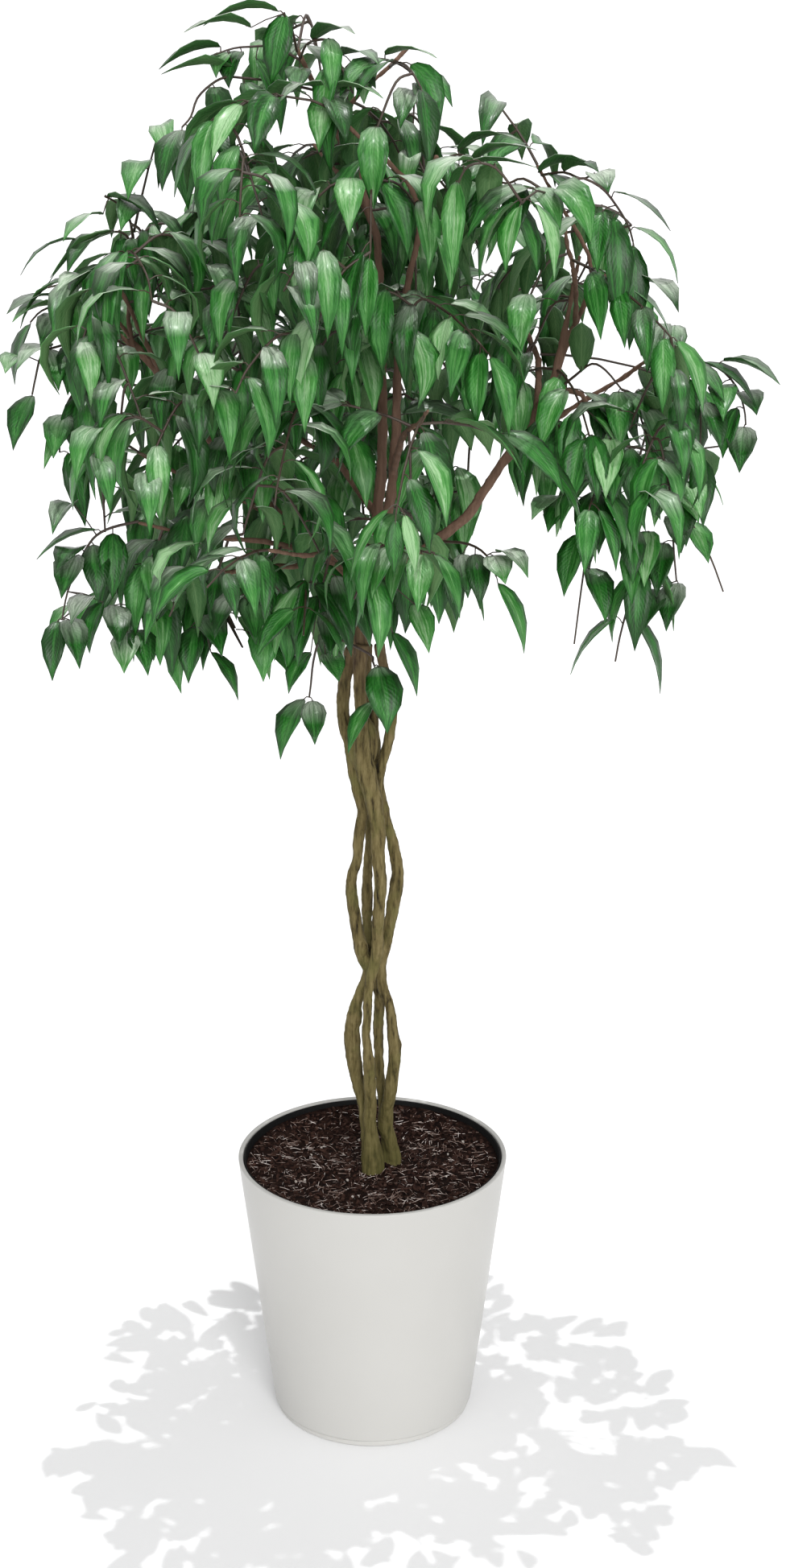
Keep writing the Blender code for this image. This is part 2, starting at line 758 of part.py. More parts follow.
def face_corners(lower, upper, left_side):
    if left_side:
        return [lower[2].co.copy(), upper[0].co.copy(), upper[2].co.copy()]
    return [lower[0].co.copy(), lower[1].co.copy(), upper[1].co.copy()]


def leafed(spray, others, rng):
    """Grows the leaves of a spray. Returns their search trees and what each leaf was."""
    leaves = []
    grown = []
    sockets = []
    for share, lower, upper in spray["collars"]:
        for left_side in (True, False):
            sockets.append((share, lower, upper, left_side))
    for share, lower, upper, left_side in sockets:
        place, tangent, left, up = twig_frame(spray, share)
        sign = 1 if left_side else -1
        base = face_corners(lower, upper, left_side)
        for attempt in range(MOST_TRIES):
            spread = rng.uniform(0.45, 1.1)
            heading = (left * sign * 0.9 + tangent * spread + up * rng.uniform(0.15, 0.6)).normalized()
            leaf = {
                "base": sum(base, Vector()) / 3,
                "heading": heading,
                "side": left,
                "droop": rng.uniform(1.3, 2.9),
                "roll": math.radians(rng.uniform(-32, 32)),
                "length": LEAF_LENGTH * rng.uniform(0.86, 1.12) * (1 - 0.015 * attempt),
                "width": LEAF_WIDTH * rng.uniform(0.88, 1.14) * (1 - 0.015 * attempt),
                "petiole": PETIOLE * rng.uniform(0.85, 1.25),
                "free": spray["low"],
            }
            result = try_leaf(leaf, base, others + [entry for _, entry in grown])
            if result:
                rings, tip, entry = result
                face = collar_face(spray["bm"], lower, upper, left_side)
                corners = [loop.vert.co for loop in face.loops]
                draw_leaf(spray["bm"], face, refit(base, corners, rings), tip)
                grown.append((leaf, entry))
                break
    place, tangent, left, up = twig_frame(spray, 1.0)
    face = spray["cap"]
    base = [loop.vert.co.copy() for loop in face.loops]
    for attempt in range(MOST_TRIES):
        leaf = {
            "base": place,
            "heading": (tangent + left * rng.uniform(-0.3, 0.3) + up * rng.uniform(0, 0.3)).normalized(),
            "side": left,
            "droop": rng.uniform(1.2, 2.6),
            "roll": math.radians(rng.uniform(-30, 30)),
            "length": LEAF_LENGTH * rng.uniform(0.86, 1.1) * (1 - 0.015 * attempt),
            "width": LEAF_WIDTH * rng.uniform(0.88, 1.1) * (1 - 0.015 * attempt),
            "petiole": PETIOLE * 0.6,
            "free": spray["low"],
        }
        result = try_leaf(leaf, base, others + [entry for _, entry in grown])
        if result:
            rings, tip, entry = result
            draw_leaf(spray["bm"], face, rings, tip)
            grown.append((leaf, entry))
            break
    return grown


def refit(base, corners, rings):
    """The rings in the order of the face that was split off, which may start at another corner."""
    return counted_from(rings, min(range(3), key=lambda k: (corners[0] - base[k]).length))


def tip_plans(lines, boughs):
    """The sprays that end the boughs and the strands, and the shoots low on the trunk."""
    plans = []
    ends = [(STRANDS[index]["foot"], path) for index, path, _ in boughs]
    ends += [(strand["foot"], path) for strand, (path, _) in zip(STRANDS, lines)]
    for foot, path in ends:
        plans.append({"foot": foot, "root": path[-1], "aim": path[-1] - path[-2], "tip": True})
    for index, height, azimuth in LOW_SHOOTS:
        root, _, _ = point_at_height(*lines[index], height)
        turn = math.radians(azimuth)
        aim = Vector((math.cos(turn), math.sin(turn), -0.35))
        plans.append({"foot": STRANDS[index]["foot"], "root": root, "aim": aim, "tip": False, "low": True})
    return plans


def perches(lines, boughs):
    """Places along the wood where a side spray may grow: foot, point and the wood's direction."""
    places = []
    for index, path, _ in boughs:
        for share in (0.3, 0.45, 0.6, 0.75, 0.9):
            point, along = sample(path, share)
            places.append((STRANDS[index]["foot"], point, along))
    for strand, (path, _) in zip(STRANDS, lines):
        for low, high in zip(path, path[1:]):
            if low.z > SIDE_SPRAYS_FROM:
                places.append((strand["foot"], low.lerp(high, 0.5), (high - low).normalized()))
    return places


def side_plan(places, rng):
    """A random perch with a heading that leaves the wood sideways."""
    foot, point, along = rng.choice(places)
    turn = rng.uniform(0, 2 * math.pi)
    aim = Vector((math.cos(turn), math.sin(turn), rng.uniform(-0.1, 0.5)))
    aim = (aim - along * aim.dot(along) * 0.7).normalized()
    return {"foot": foot, "root": point, "aim": aim, "tip": False}


def seated_start(plan, aim, trees):
    """The twig's first point, a small gap outside the wood that carries it."""
    if plan["tip"]:
        return plan["root"] + aim * GAP * 1.5
    hit, normal, _, _ = trees[plan["foot"]].ray_cast(plan["root"], aim)
    if hit is None:
        return None
    slope = min(2.0, math.tan(math.acos(min(1.0, abs(normal.dot(aim))))))
    return hit + aim * (GAP + TWIG_RADIUS * slope * 0.5)


def grown_spray(plan, trees, taken, rng, shake):
    """A spray's bare twig, if it stays in the crown and crosses nothing."""
    low = plan.get("low", False)
    aim = (plan["aim"].normalized() + Vector([rng.uniform(-shake, shake) for _ in range(3)])).normalized()
    start = seated_start(plan, aim, trees)
    if start is None:
        return None
    spray = {
        "length": TWIG_LENGTH * rng.uniform(0.85, 1.15) * (0.75 if low else 1),
        "droop": rng.uniform(0.3, 1.2) + (1.8 if low else 0),
        "pairs": 1 if low else rng.choice(PAIRS_PER_TWIG),
        "bare": 0.8 if low else 0.16,
        "side": level_side(aim, Vector((1, 0, 0))),
        "low": low,
    }
    spray["path"] = arch(start, aim, spray["length"], spray["droop"], 14)
    spray["heart"] = sample(spray["path"], 0.6)[0] + Vector((0, 0, -0.04))
    if not low:
        for share in (0.5, 1.0):
            point = sample(spray["path"], share)[0]
            if not in_crown(point + Vector((point.x, point.y, 0)).normalized() * TWIG_MARGIN):
                return None
    grow_twig(spray)
    if is_clear(spray["tree"], spray["centre"], spray["around"], taken):
        return spray
    spray["bm"].free()
    return None


def spacing(apart):
    """Distance between two sprays, counted less from front to back than across the front."""
    return math.hypot(apart.x, apart.y * DEPTH_WEIGHT, apart.z)


def place_twigs(lines, boughs, trees, fixed, rng):
    """Tip sprays first, and then side sprays, each where the crown is emptiest."""
    sprays = []
    for plan in tip_plans(lines, boughs):
        for attempt in range(MOST_TRIES):
            taken = fixed + [(s["tree"], s["centre"], s["around"]) for s in sprays]
            spray = grown_spray(plan, trees, taken, rng, 0.05 + 0.03 * attempt)
            if spray:
                sprays.append(spray)
                break
    places = perches(lines, boughs)
    while len(sprays) < MOST_SPRAYS:
        taken = fixed + [(s["tree"], s["centre"], s["around"]) for s in sprays]
        best = None
        for _ in range(SIDE_TRIES):
            spray = grown_spray(side_plan(places, rng), trees, taken, rng, 0.0)
            if not spray:
                continue
            room = min(spacing(spray["heart"] - other["heart"]) for other in sprays)
            if best is None or room > best[0]:
                if best:
                    best[1]["bm"].free()
                best = (room, spray)
            else:
                spray["bm"].free()
        sprays.append(best[1])
    return sprays


def build_sprays(collection, lines, boughs, stems, rng):
    trees = [mesh_tree(stem.data) for stem in stems]
    fixed = [(tree, Vector((0, 0, 1.0)), 10.0) for tree in trees]
    sprays = place_twigs(lines, boughs, trees, fixed, rng)
    twigs = [(s["tree"], s["centre"], s["around"]) for s in sprays]
    every = []
    for number, spray in enumerate(sprays):
        every += leafed(spray, fixed + twigs + [entry for _, entry in every], rng)
        bm = spray["bm"]
        bmesh.ops.recalc_face_normals(bm, faces=bm.faces)
        if bm.calc_volume(signed=True) < 0:
            bmesh.ops.reverse_faces(bm, faces=bm.faces)
        mesh = bpy.data.meshes.new("spray")
        bm.to_mesh(mesh)
        bm.free()
        add_object(f"spray_{number + 1:02d}", mesh, "leaf", collection)
    print("boughs", len(boughs), "sprays", len(sprays), "leaves", len(every))


def main():
    clear_scene()
    parts = new_collection("potted_weeping_fig")
    holes = new_collection("cutters")
    build_pot(parts)
    build_liner(parts)
    build_soil(parts, holes)
    rng = random.Random(SEED)
    lines, boughs, stems = build_wood(parts, rng)
    build_sprays(parts, lines, boughs, stems, rng)


main()
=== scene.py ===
# Looks of the potted weeping fig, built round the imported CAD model.
# Metres, +Z up, the planter's axis on Z, the photographed front towards -Y.
import math
import random

import bmesh
import bpy
import numpy as np
from mathutils import Matrix, Vector
from mathutils.bvhtree import BVHTree


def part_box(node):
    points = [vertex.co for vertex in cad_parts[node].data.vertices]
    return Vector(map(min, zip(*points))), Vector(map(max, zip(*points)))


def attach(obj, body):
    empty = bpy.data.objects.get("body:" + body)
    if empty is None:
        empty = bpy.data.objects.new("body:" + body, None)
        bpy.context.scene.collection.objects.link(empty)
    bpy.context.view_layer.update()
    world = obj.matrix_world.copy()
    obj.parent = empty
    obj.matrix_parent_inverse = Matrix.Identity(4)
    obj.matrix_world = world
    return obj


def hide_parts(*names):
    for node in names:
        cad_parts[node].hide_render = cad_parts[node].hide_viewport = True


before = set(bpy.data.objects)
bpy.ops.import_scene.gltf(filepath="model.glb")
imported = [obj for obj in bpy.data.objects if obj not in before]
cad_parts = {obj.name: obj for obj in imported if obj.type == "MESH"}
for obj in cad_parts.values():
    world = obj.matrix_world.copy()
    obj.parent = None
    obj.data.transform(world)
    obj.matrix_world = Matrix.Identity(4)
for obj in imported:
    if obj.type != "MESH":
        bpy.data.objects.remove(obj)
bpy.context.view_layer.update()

scene = bpy.context.scene
bpy.ops.object.select_all(action="DESELECT")

# The photograph is 976 x 1948 and looks down a little from 3 m
photoView = {"place": (0.02604, -3.0, 1.8339), "downTilt": 18.304, "focalPixels": 3246.3, "width": 976,
             "height": 1948, "sensor": 36.0}
viewTilt = math.radians(photoView["downTilt"])


def makeCamera():
    bpy.ops.object.camera_add(location=photoView["place"])
    camera = bpy.context.object
    camera.name = "photoCamera"
    camera.rotation_euler = (math.radians(90 - photoView["downTilt"]), 0, 0)
    camera.data.sensor_fit = "VERTICAL"
    camera.data.sensor_height = photoView["sensor"]
    camera.data.lens = photoView["focalPixels"] / photoView["height"] * photoView["sensor"]
    camera.data.clip_end = 500
    scene.camera = camera


makeCamera()
print("camera placed")


# From a pixel and a depth to a place, and back

def fromPhoto(x, y, depth):
    away = depth - photoView["place"][1]
    drop = away * math.tan(viewTilt + math.atan((y - photoView["height"] / 2) / photoView["focalPixels"]))
    distance = away * math.cos(viewTilt) + drop * math.sin(viewTilt)
    sideways = (x - photoView["width"] / 2) * distance / photoView["focalPixels"]
    return Vector((photoView["place"][0] + sideways, depth, photoView["place"][2] - drop))


def pixelSize(place):
    _, middle, top = photoView["place"]
    away = (place.y - middle) * math.cos(viewTilt) + (top - place.z) * math.sin(viewTilt)
    return away / photoView["focalPixels"]


def onPhoto(points):
    sideways, away, drop = (points - np.array(photoView["place"])).T
    distance = away * math.cos(viewTilt) - drop * math.sin(viewTilt)
    x = photoView["width"] / 2 + photoView["focalPixels"] * sideways / distance
    y = photoView["height"] / 2 - photoView["focalPixels"] * (
        drop * math.cos(viewTilt) + away * math.sin(viewTilt)) / distance
    return np.stack((x, y), axis=1)


def smoothPath(points, perSpan):
    path = []
    padded = [points[0] * 2 - points[1], *points, points[-1] * 2 - points[-2]]
    for a, b, c, d in zip(padded, padded[1:], padded[2:], padded[3:]):
        for step in range(perSpan):
            t = step / perSpan
            path.append(0.5 * (2 * b + (c - a) * t + (2 * a - 5 * b + 4 * c - d) * t ** 2
                               + (3 * b - a - 3 * c + d) * t ** 3))
    path.append(points[-1])
    return path


# Small helpers for the operators

def makeActive(*objects):
    if bpy.context.mode != "OBJECT":
        bpy.ops.object.mode_set(mode="OBJECT")
    bpy.ops.object.select_all(action="DESELECT")
    for obj in objects:
        obj.select_set(True)
    bpy.context.view_layer.objects.active = objects[0]


def joined(objects, name):
    makeActive(*objects)
    if len(objects) > 1:
        bpy.ops.object.join()
    result = bpy.context.object
    result.name = name
    result.data.name = name
    return result


def duplicated(obj):
    copy = obj.copy()
    copy.data = obj.data.copy()
    scene.collection.objects.link(copy)
    return copy


def settle(obj):
    # the place goes into the mesh and the object to the origin
    makeActive(obj)
    bpy.ops.object.transform_apply(location=True, rotation=True, scale=True)


def startEdit():
    bpy.ops.object.mode_set(mode="EDIT")
    bpy.ops.mesh.select_all(action="SELECT")


def endEdit(turnOutward=False):
    if turnOutward:
        bpy.ops.mesh.select_all(action="SELECT")
        bpy.ops.mesh.normals_make_consistent(inside=False)
    bpy.ops.object.mode_set(mode="OBJECT")


def discAt(radius, height, sides):
    bpy.ops.mesh.primitive_circle_add(vertices=sides, radius=radius, fill_type="NGON",
                                      location=(0, 0, height))
    settle(bpy.context.object)
    startEdit()
    return bpy.context.object


def drawOut(rise, share, height):
    bpy.ops.mesh.extrude_region_move(TRANSFORM_OT_translate={"value": (0, 0, rise)})
    bpy.ops.transform.resize(value=(share, share, 1), center_override=(0, 0, height))


def applyModifier(obj, kind, **values):
    makeActive(obj)
    modifier = obj.modifiers.new(kind.title(), kind)
    for key, value in values.items():
        setattr(modifier, key, value)
    bpy.ops.object.modifier_apply(modifier=modifier.name)


def displaceBy(obj, name, kind, scale, depth, strength, middle, **values):
    clouds = bpy.data.textures.new(name, "CLOUDS")
    clouds.noise_basis = kind
    clouds.noise_scale = scale
    clouds.noise_depth = depth
    applyModifier(obj, "DISPLACE", texture=clouds, texture_coords="LOCAL", strength=strength,
                  mid_level=middle, **values)


def smoothShade(obj, angle):
    makeActive(obj)
    bpy.ops.object.shade_smooth_by_angle(angle=math.radians(angle))


def wear(obj, *keys):
    obj.data.materials.clear()
    for key in keys:
        obj.data.materials.append(materials[key])


def finishPiece(obj, slot, *replaced):
    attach(obj, "root")
    if replaced:
        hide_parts(*replaced)


def treeOf(obj):
    points = [vertex.co.copy() for vertex in obj.data.vertices]
    return BVHTree.FromPolygons(points, [tuple(polygon.vertices) for polygon in obj.data.polygons])


# Materials: a node's input takes a plain value or another node's output

materials = {}


def newMaterial(key, name):
    materials[key] = bpy.data.materials.new(name)
    materials[key].use_nodes = True
    return materials[key].node_tree.nodes["Principled BSDF"]


def feed(socket, value):
    if isinstance(value, bpy.types.NodeSocket):
        socket.id_data.links.new(value, socket)
    else:
        socket.default_value = (*value, 1) if socket.type == "RGBA" else value


def addNode(neighbour, kind, values, output=0, **settings):
    # the neighbour is any node or socket of the same material
    node = neighbour.id_data.nodes.new("ShaderNode" + kind)
    for key, value in settings.items():
        setattr(node, key, value)
    for key, value in values.items():
        feed(node.inputs[key], value)
    return node.outputs[output]


def calculated(operation, *values):
    return addNode(values[0], "Math", dict(enumerate(values)), operation=operation)


def ranged(value, fromLow, fromHigh, toLow=0.0, toHigh=1.0):
    return addNode(value, "MapRange", {"Value": value, "From Min": fromLow, "From Max": fromHigh,
                                       "To Min": toLow, "To Max": toHigh})


def mixed(neighbour, factor, first, second, blend="MIX"):
    values = {"Factor": factor, 6: first, 7: second}
    return addNode(neighbour, "Mix", values, 2, data_type="RGBA", blend_type=blend)


def ramped(factor, stops):
    colour = addNode(factor, "ValToRGB", {"Fac": factor})
    ramp = colour.node.color_ramp
    while len(ramp.elements) < len(stops):
        ramp.elements.new(0.5)
    for element, (place, tint) in zip(ramp.elements, stops):
        element.position = place
        element.color = (*tint, 1)
    return colour


def objectPlace(shader, scale=(1, 1, 1)):
    place = addNode(shader, "TexCoord", {}, "Object")
    return addNode(shader, "Mapping", {"Vector": place, "Scale": scale})


def noise(vector, scale, detail=4.0, roughness=0.55):
    values = {"Vector": vector, "Scale": scale, "Detail": detail, "Roughness": roughness}
    return addNode(vector, "TexNoise", values, "Fac")


def axisOf(vector, axis):
    return addNode(vector, "SeparateXYZ", {"Vector": vector}, axis)


def setShader(shader, colour, roughness, specular, relief=None):
    values = {"Base Color": colour, "Roughness": roughness, "Specular IOR Level": specular}
    if relief:
        values["Normal"] = addNode(shader, "Bump", dict(zip(("Height", "Strength", "Distance"), relief)))
    for key, value in values.items():
        feed(shader.inputs[key], value)


# low and high scale the glaze at the floor and at the rim: painted light and shade
planterFinish = {"colour": (0.480, 0.474, 0.453), "shade": (0.468, 0.462, 0.441), "low": 1.06, "high": 0.93,
                 "height": 0.35, "roughness": (0.30, 0.44), "relief": (0.12, 0.0004)}


def planterMaterial():
    shader = newMaterial("planter", "warmWhiteGlaze")
    place = objectPlace(shader)
    grain = noise(place, 260.0, 2.0)
    glaze = ramped(noise(place, 6.0, 3.0),
                   ((0.35, planterFinish["shade"]), (0.65, planterFinish["colour"])))
    # painted light and shade: the glaze is scaled darker towards the rim and lighter near the floor, to even
    # out how the light falls on the wall
    height = axisOf(place, "Z")
    level = ranged(height, 0.0, planterFinish["height"], planterFinish["low"], planterFinish["high"])
    glazeWithPaintedShade = addNode(shader, "VectorMath", {0: glaze, "Scale": level}, operation="SCALE")
    setShader(shader, glazeWithPaintedShade, ranged(grain, 0.0, 1.0, *planterFinish["roughness"]), 0.5,
              (grain, *planterFinish["relief"]))


# Name; scale, detail and roughness of the pattern; roughness; specular level; scale, detail, strength
# and distance of the relief; and the colours with their places in the pattern
mixRelief = (4.0, 0.8, 0.0015)
plainFinishes = {
    "liner": ("blackLinerPlastic", (420.0, 3.0), 0.6, 0.15, (420.0, 3.0, 0.25, 0.0006),
              (0.3, (0.002, 0.002, 0.002)), (0.7, (0.005, 0.005, 0.005))),
    "mix": ("pottingMix", (160.0, 5.0, 0.65), 0.92, 0.08, (480.0, *mixRelief),
            (0.36, (0.003, 0.001, 0.001)), (0.55, (0.014, 0.006, 0.004)), (0.78, (0.060, 0.030, 0.022))),
    "crumb": ("barkCrumbs", (120.0, 5.0, 0.65), 0.85, 0.08, (360.0, *mixRelief),
              (0.30, (0.005, 0.002, 0.002)), (0.60, (0.045, 0.022, 0.016)), (0.85, (0.190, 0.125, 0.100))),
    "fibre": ("paleFibres", (85.0, 5.0, 0.65), 0.8, 0.08, (255.0, *mixRelief),
              (0.36, (0.090, 0.052, 0.040)), (0.50, (0.28, 0.20, 0.17)), (0.64, (0.80, 0.72, 0.68))),
    "grit": ("perliteGrit", (90.0, 5.0, 0.65), 0.9, 0.08, (270.0, *mixRelief),
             (0.30, (0.30, 0.25, 0.22)), (0.75, (0.60, 0.56, 0.52))),
    "twig": ("twigSkin", (55.0, 4.0), 0.5, 0.5, (500.0, 4.0, 0.4, 0.0005),
             (0.35, (0.036, 0.018, 0.012)), (0.65, (0.046, 0.032, 0.018))),
    "floor": ("paleFloor", (1.5, 3.0), 0.9, 0.1, None,
              (0.3, (0.84, 0.84, 0.845)), (0.7, (0.86, 0.86, 0.865))),
}


def plainMaterial(key, name, pattern, roughness, specular, relief, *stops):
    shader = newMaterial(key, name)
    place = objectPlace(shader)
    colour = ramped(noise(place, *pattern), stops)
    if relief:
        relief = (noise(place, *relief[:2]), *relief[2:])
    setShader(shader, colour, roughness, specular, relief)


barkFinish = {
    "stops": ((0.32, (0.008, 0.005, 0.003)), (0.48, (0.101, 0.076, 0.039)), (0.74, (0.202, 0.158, 0.096))),
    "warmth": (0.95, 1.0, 0.55),
    "mossy": (0.110, 0.104, 0.033),
    "crownDark": (0.050, 0.028, 0.019),
    "red": (0.245, 0.148, 0.104),
    "stretch": (1, 1, 0.16),
    "greenFade": (0.34, 0.50),
    "redFade": (0.94, 1.12),
    "mossFade": (0.50, 0.64, 0.0, 0.55),
}


def barkMaterial():
    shader = newMaterial("bark", "figBark")
    place = objectPlace(shader)
    fibres = noise(objectPlace(shader, barkFinish["stretch"]), 190.0, 6.0, 0.62)
    patches = noise(place, 26.0, 4.0)
    body = mixed(shader, 0.55, ramped(fibres, barkFinish["stops"]), barkFinish["warmth"], "MULTIPLY")
    # moss in patches all along it, and most over the soil; redder in the crown
    height = axisOf(place, "Z")
    low = calculated("MULTIPLY", ranged(height, *barkFinish["greenFade"], 1.0, 0.0), patches)
    moss = calculated("MAXIMUM", low, ranged(patches, *barkFinish["mossFade"]))
    lowBark = mixed(shader, moss, body, barkFinish["mossy"])
    redBark = mixed(shader, fibres, barkFinish["crownDark"], barkFinish["red"])
    full = mixed(shader, ranged(height, *barkFinish["redFade"]), lowBark, redBark)
    setShader(shader, full, 0.75, 0.12, (fibres, 0.9, 0.0018))


leafFinish = {
    "leafTop": {
        "name": "leafUpperSide",
        # the palest stop is near white: partly the leaf's own pale green, partly painted highlight
        "stops": ((0.0, (0.003, 0.036, 0.002)), (0.34, (0.014, 0.125, 0.012)), (0.68, (0.060, 0.228, 0.045)),
                  (1.0, (0.250, 0.430, 0.210))),
        "rib": (0.050, 0.150, 0.040), "roughness": (0.30, 0.48), "specular": 0.30},
    "leafUnder": {
        "name": "leafUnderSide", "stops": ((0.0, (0.024, 0.088, 0.020)), (1.0, (0.095, 0.190, 0.070))),
        "rib": (0.130, 0.230, 0.090), "roughness": (0.49, 0.67), "specular": 0.20},
}
leafPattern = {
    "blotchScale": 38.0,
    "blotchDepth": 0.6,
    "streaks": 8.0,
    "streakLength": 1.5,
    "streakDepth": 2.0,
    "ownStreaks": 57.0,
    # how much darker the blade is painted towards its edges: painted shade
    "paintedEdgeShade": 0.75,
    "lighter": 0.17,
    # the pale grey-green painted on the level parts of the blades: a painted sheen
    "paintedSheen": (0.58, 0.65, 0.54),
    "paintedSheenBroken": (0.36, 0.62, 0.25, 1.0),
    "ribWide": (0.008, 0.035, 1.0, 0.0),
    "veins": 88.0,
    "veinSweep": 0.55,
    "veinFrom": 0.45,
    "ribShows": 0.55,
    "veinShows": 0.12,
    "waxPower": 1.6,
    "wax": (0.90, 0.10),
    "waxRoughness": 0.24,
}


def leafMaterial(key, finish):
    shader = newMaterial(key, finish["name"])
    uv = addNode(shader, "UVMap", {})
    x = axisOf(uv, "X")
    y = axisOf(uv, "Y")
    tone = addNode(shader, "Attribute", {}, "Fac", attribute_name="leafTone")
    across = calculated("ABSOLUTE", calculated("SUBTRACT", x, 0.5))
    # each leaf has its own green, and streaks that run from its base to its tip; the streaks are partly the
    # blade's own paler and darker lines and partly painted highlight, as they reach the palest green of the
    # ramp
    blotches = noise(objectPlace(shader), leafPattern["blotchScale"], 3.0)
    lane = {"X": calculated("MULTIPLY", x, leafPattern["streaks"]),
            "Y": calculated("MULTIPLY", y, leafPattern["streakLength"]),
            "Z": calculated("MULTIPLY", tone, leafPattern["ownStreaks"])}
    streaks = noise(addNode(shader, "CombineXYZ", lane), 1.0, 5.0, 0.72)
    swing = calculated("MULTIPLY", calculated("SUBTRACT", streaks, 0.5), leafPattern["streakDepth"])
    # painted shade: the blade is darker towards its edges, as where a folded blade turns from the light
    darker = calculated("MULTIPLY_ADD", across, -leafPattern["paintedEdgeShade"], tone)
    level = calculated("ADD", calculated("ADD", darker, leafPattern["lighter"]), swing)
    uneven = calculated("MULTIPLY_ADD", calculated("SUBTRACT", blotches, 0.5),
                        leafPattern["blotchDepth"], level)
    surface = ramped(uneven, finish["stops"])
    if key == "leafTop":
        # painted sheen: the level parts of the blade are mixed towards a pale grey-green, broken up by the
        # streaks
        paintedSheen = addNode(shader, "Attribute", {}, "Fac", attribute_name="leafPaintedSheen")
        broken = ranged(streaks, *leafPattern["paintedSheenBroken"])
        surface = mixed(shader, calculated("MULTIPLY", paintedSheen, broken), surface, leafPattern["paintedSheen"])
        # the wax shows most where the blade is seen at a slant
        facing = addNode(shader, "LayerWeight", {"Blend": 0.5}, "Facing")
        slant = calculated("POWER", facing, leafPattern["waxPower"])
        feed(shader.inputs["Coat Weight"], calculated("MULTIPLY_ADD", slant, *leafPattern["wax"]))
        shader.inputs["Coat Roughness"].default_value = leafPattern["waxRoughness"]
    # midrib, and fine side veins that sweep towards the tip
    rib = ranged(across, *leafPattern["ribWide"])
    sweep = calculated("MULTIPLY_ADD", across, -leafPattern["veinSweep"], y)
    veins = calculated("SINE", calculated("MULTIPLY", sweep, leafPattern["veins"]))
    veinLine = ranged(veins, leafPattern["veinFrom"], 1.0)
    marks = calculated("MAXIMUM", calculated("MULTIPLY", rib, leafPattern["ribShows"]),
                       calculated("MULTIPLY", veinLine, leafPattern["veinShows"]))
    ridges = calculated("SUBTRACT", calculated("MULTIPLY", veins, 0.25), rib)
    setShader(shader, mixed(shader, marks, surface, finish["rib"]),
              ranged(blotches, 0.0, 1.0, *finish["roughness"]), finish["specular"],
              (calculated("MULTIPLY_ADD", streaks, 3.0, ridges), 0.5, 0.0006))


planterMaterial()
barkMaterial()
for key, finish in plainFinishes.items():
    plainMaterial(key, *finish)
for key, finish in leafFinish.items():
    leafMaterial(key, finish)
print("materials made")


# Planter and nursery pot: a disc drawn out ring by ring

def arcPoints(centreRadius, centreHeight, bend, firstAngle, lastAngle, steps):
    points = []
    for step in range(steps + 1):
        angle = math.radians(firstAngle + (lastAngle - firstAngle) * step / steps)
        points.append((centreRadius + bend * math.cos(angle), centreHeight + bend * math.sin(angle)))
    return points


def drawnPot(name, profile, sides):
    pot = discAt(*profile[0], sides)
    for (radius, height), (nextRadius, nextHeight) in zip(profile, profile[1:]):
        drawOut(nextHeight - height, nextRadius / radius, nextHeight)
    endEdit(turnOutward=True)
    pot.name = name
    pot.data.name = name
    smoothShade(pot, 40)
    return pot


potLow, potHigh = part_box("pot")
soilLow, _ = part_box("soil")
linerLow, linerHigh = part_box("nursery_pot")
planterShape = {"sides": 144, "height": potHigh.z, "topRadius": (potHigh.x - potLow.x) / 2,
                "lowRadius": 0.1284, "wall": 0.0057, "floor": 0.010, "footHeight": 0.007,
                "footInset": 0.0035, "lowEdge": 0.0045}


def planterWall(height):
    share = (height - planterShape["footHeight"]) / (planterShape["height"] - planterShape["footHeight"])
    return planterShape["lowRadius"] + (planterShape["topRadius"] - planterShape["lowRadius"]) * share


def makePlanter():
    shape = planterShape
    foot = shape["lowRadius"] - shape["footInset"]
    edge = shape["lowEdge"]
    lip = shape["wall"] / 2
    profile = [(foot - 0.0015, 0.0), (foot, 0.0012), (foot, shape["footHeight"] - 0.0006)]
    profile += arcPoints(planterWall(edge) - edge, shape["footHeight"] + edge, edge, -80, -6, 6)
    profile += [(planterWall(0.12), 0.12), (planterWall(0.24), 0.24)]
    # the rim is rolled, and a little flatter than round
    lipMiddle = shape["height"] - lip * 0.6
    profile += [(radius, lipMiddle + (height - shape["height"] + lip * 0.6) * 0.6)
                for radius, height in arcPoints(shape["topRadius"] - lip, lipMiddle, lip, 0, 180, 12)]
    inner = planterWall(shape["floor"]) - shape["wall"]
    profile += [(inner, shape["floor"] + 0.006), (inner - 0.006, shape["floor"])]
    planter = drawnPot("planter", profile, shape["sides"])
    wear(planter, "planter")
    finishPiece(planter, "pot", "pot")


linerShape = {"sides": 120, "wall": 0.002, "gap": 0.0006, "lip": 0.0028}


def makeLiner():
    top = linerHigh.z + linerShape["lip"]
    base = linerLow.z
    wall = linerShape["wall"]

    def outer(height):
        return planterWall(height) - planterShape["wall"] - linerShape["gap"]

    profile = [(outer(base) - 0.005, base), (outer(base + 0.005), base + 0.005), (outer(0.18), 0.18),
               (outer(top - 0.0015), top - 0.0015), (outer(top) - 0.0006, top - 0.0003),
               (outer(top) - wall / 2, top), (outer(top) - wall + 0.0004, top - 0.0003),
               (outer(top - 0.001) - wall, top - 0.0015), (outer(base + 0.006) - wall, base + 0.006),
               (outer(base) - 0.009, base + wall)]
    liner = drawnPot("growPot", profile, linerShape["sides"])
    wear(liner, "liner")
    finishPiece(liner, "liner", "nursery_pot")


makePlanter()
makeLiner()
print("planter and grow pot drawn")


# Potting mix: a lumpy disc, and crumbs, chips, fibres and grit on it

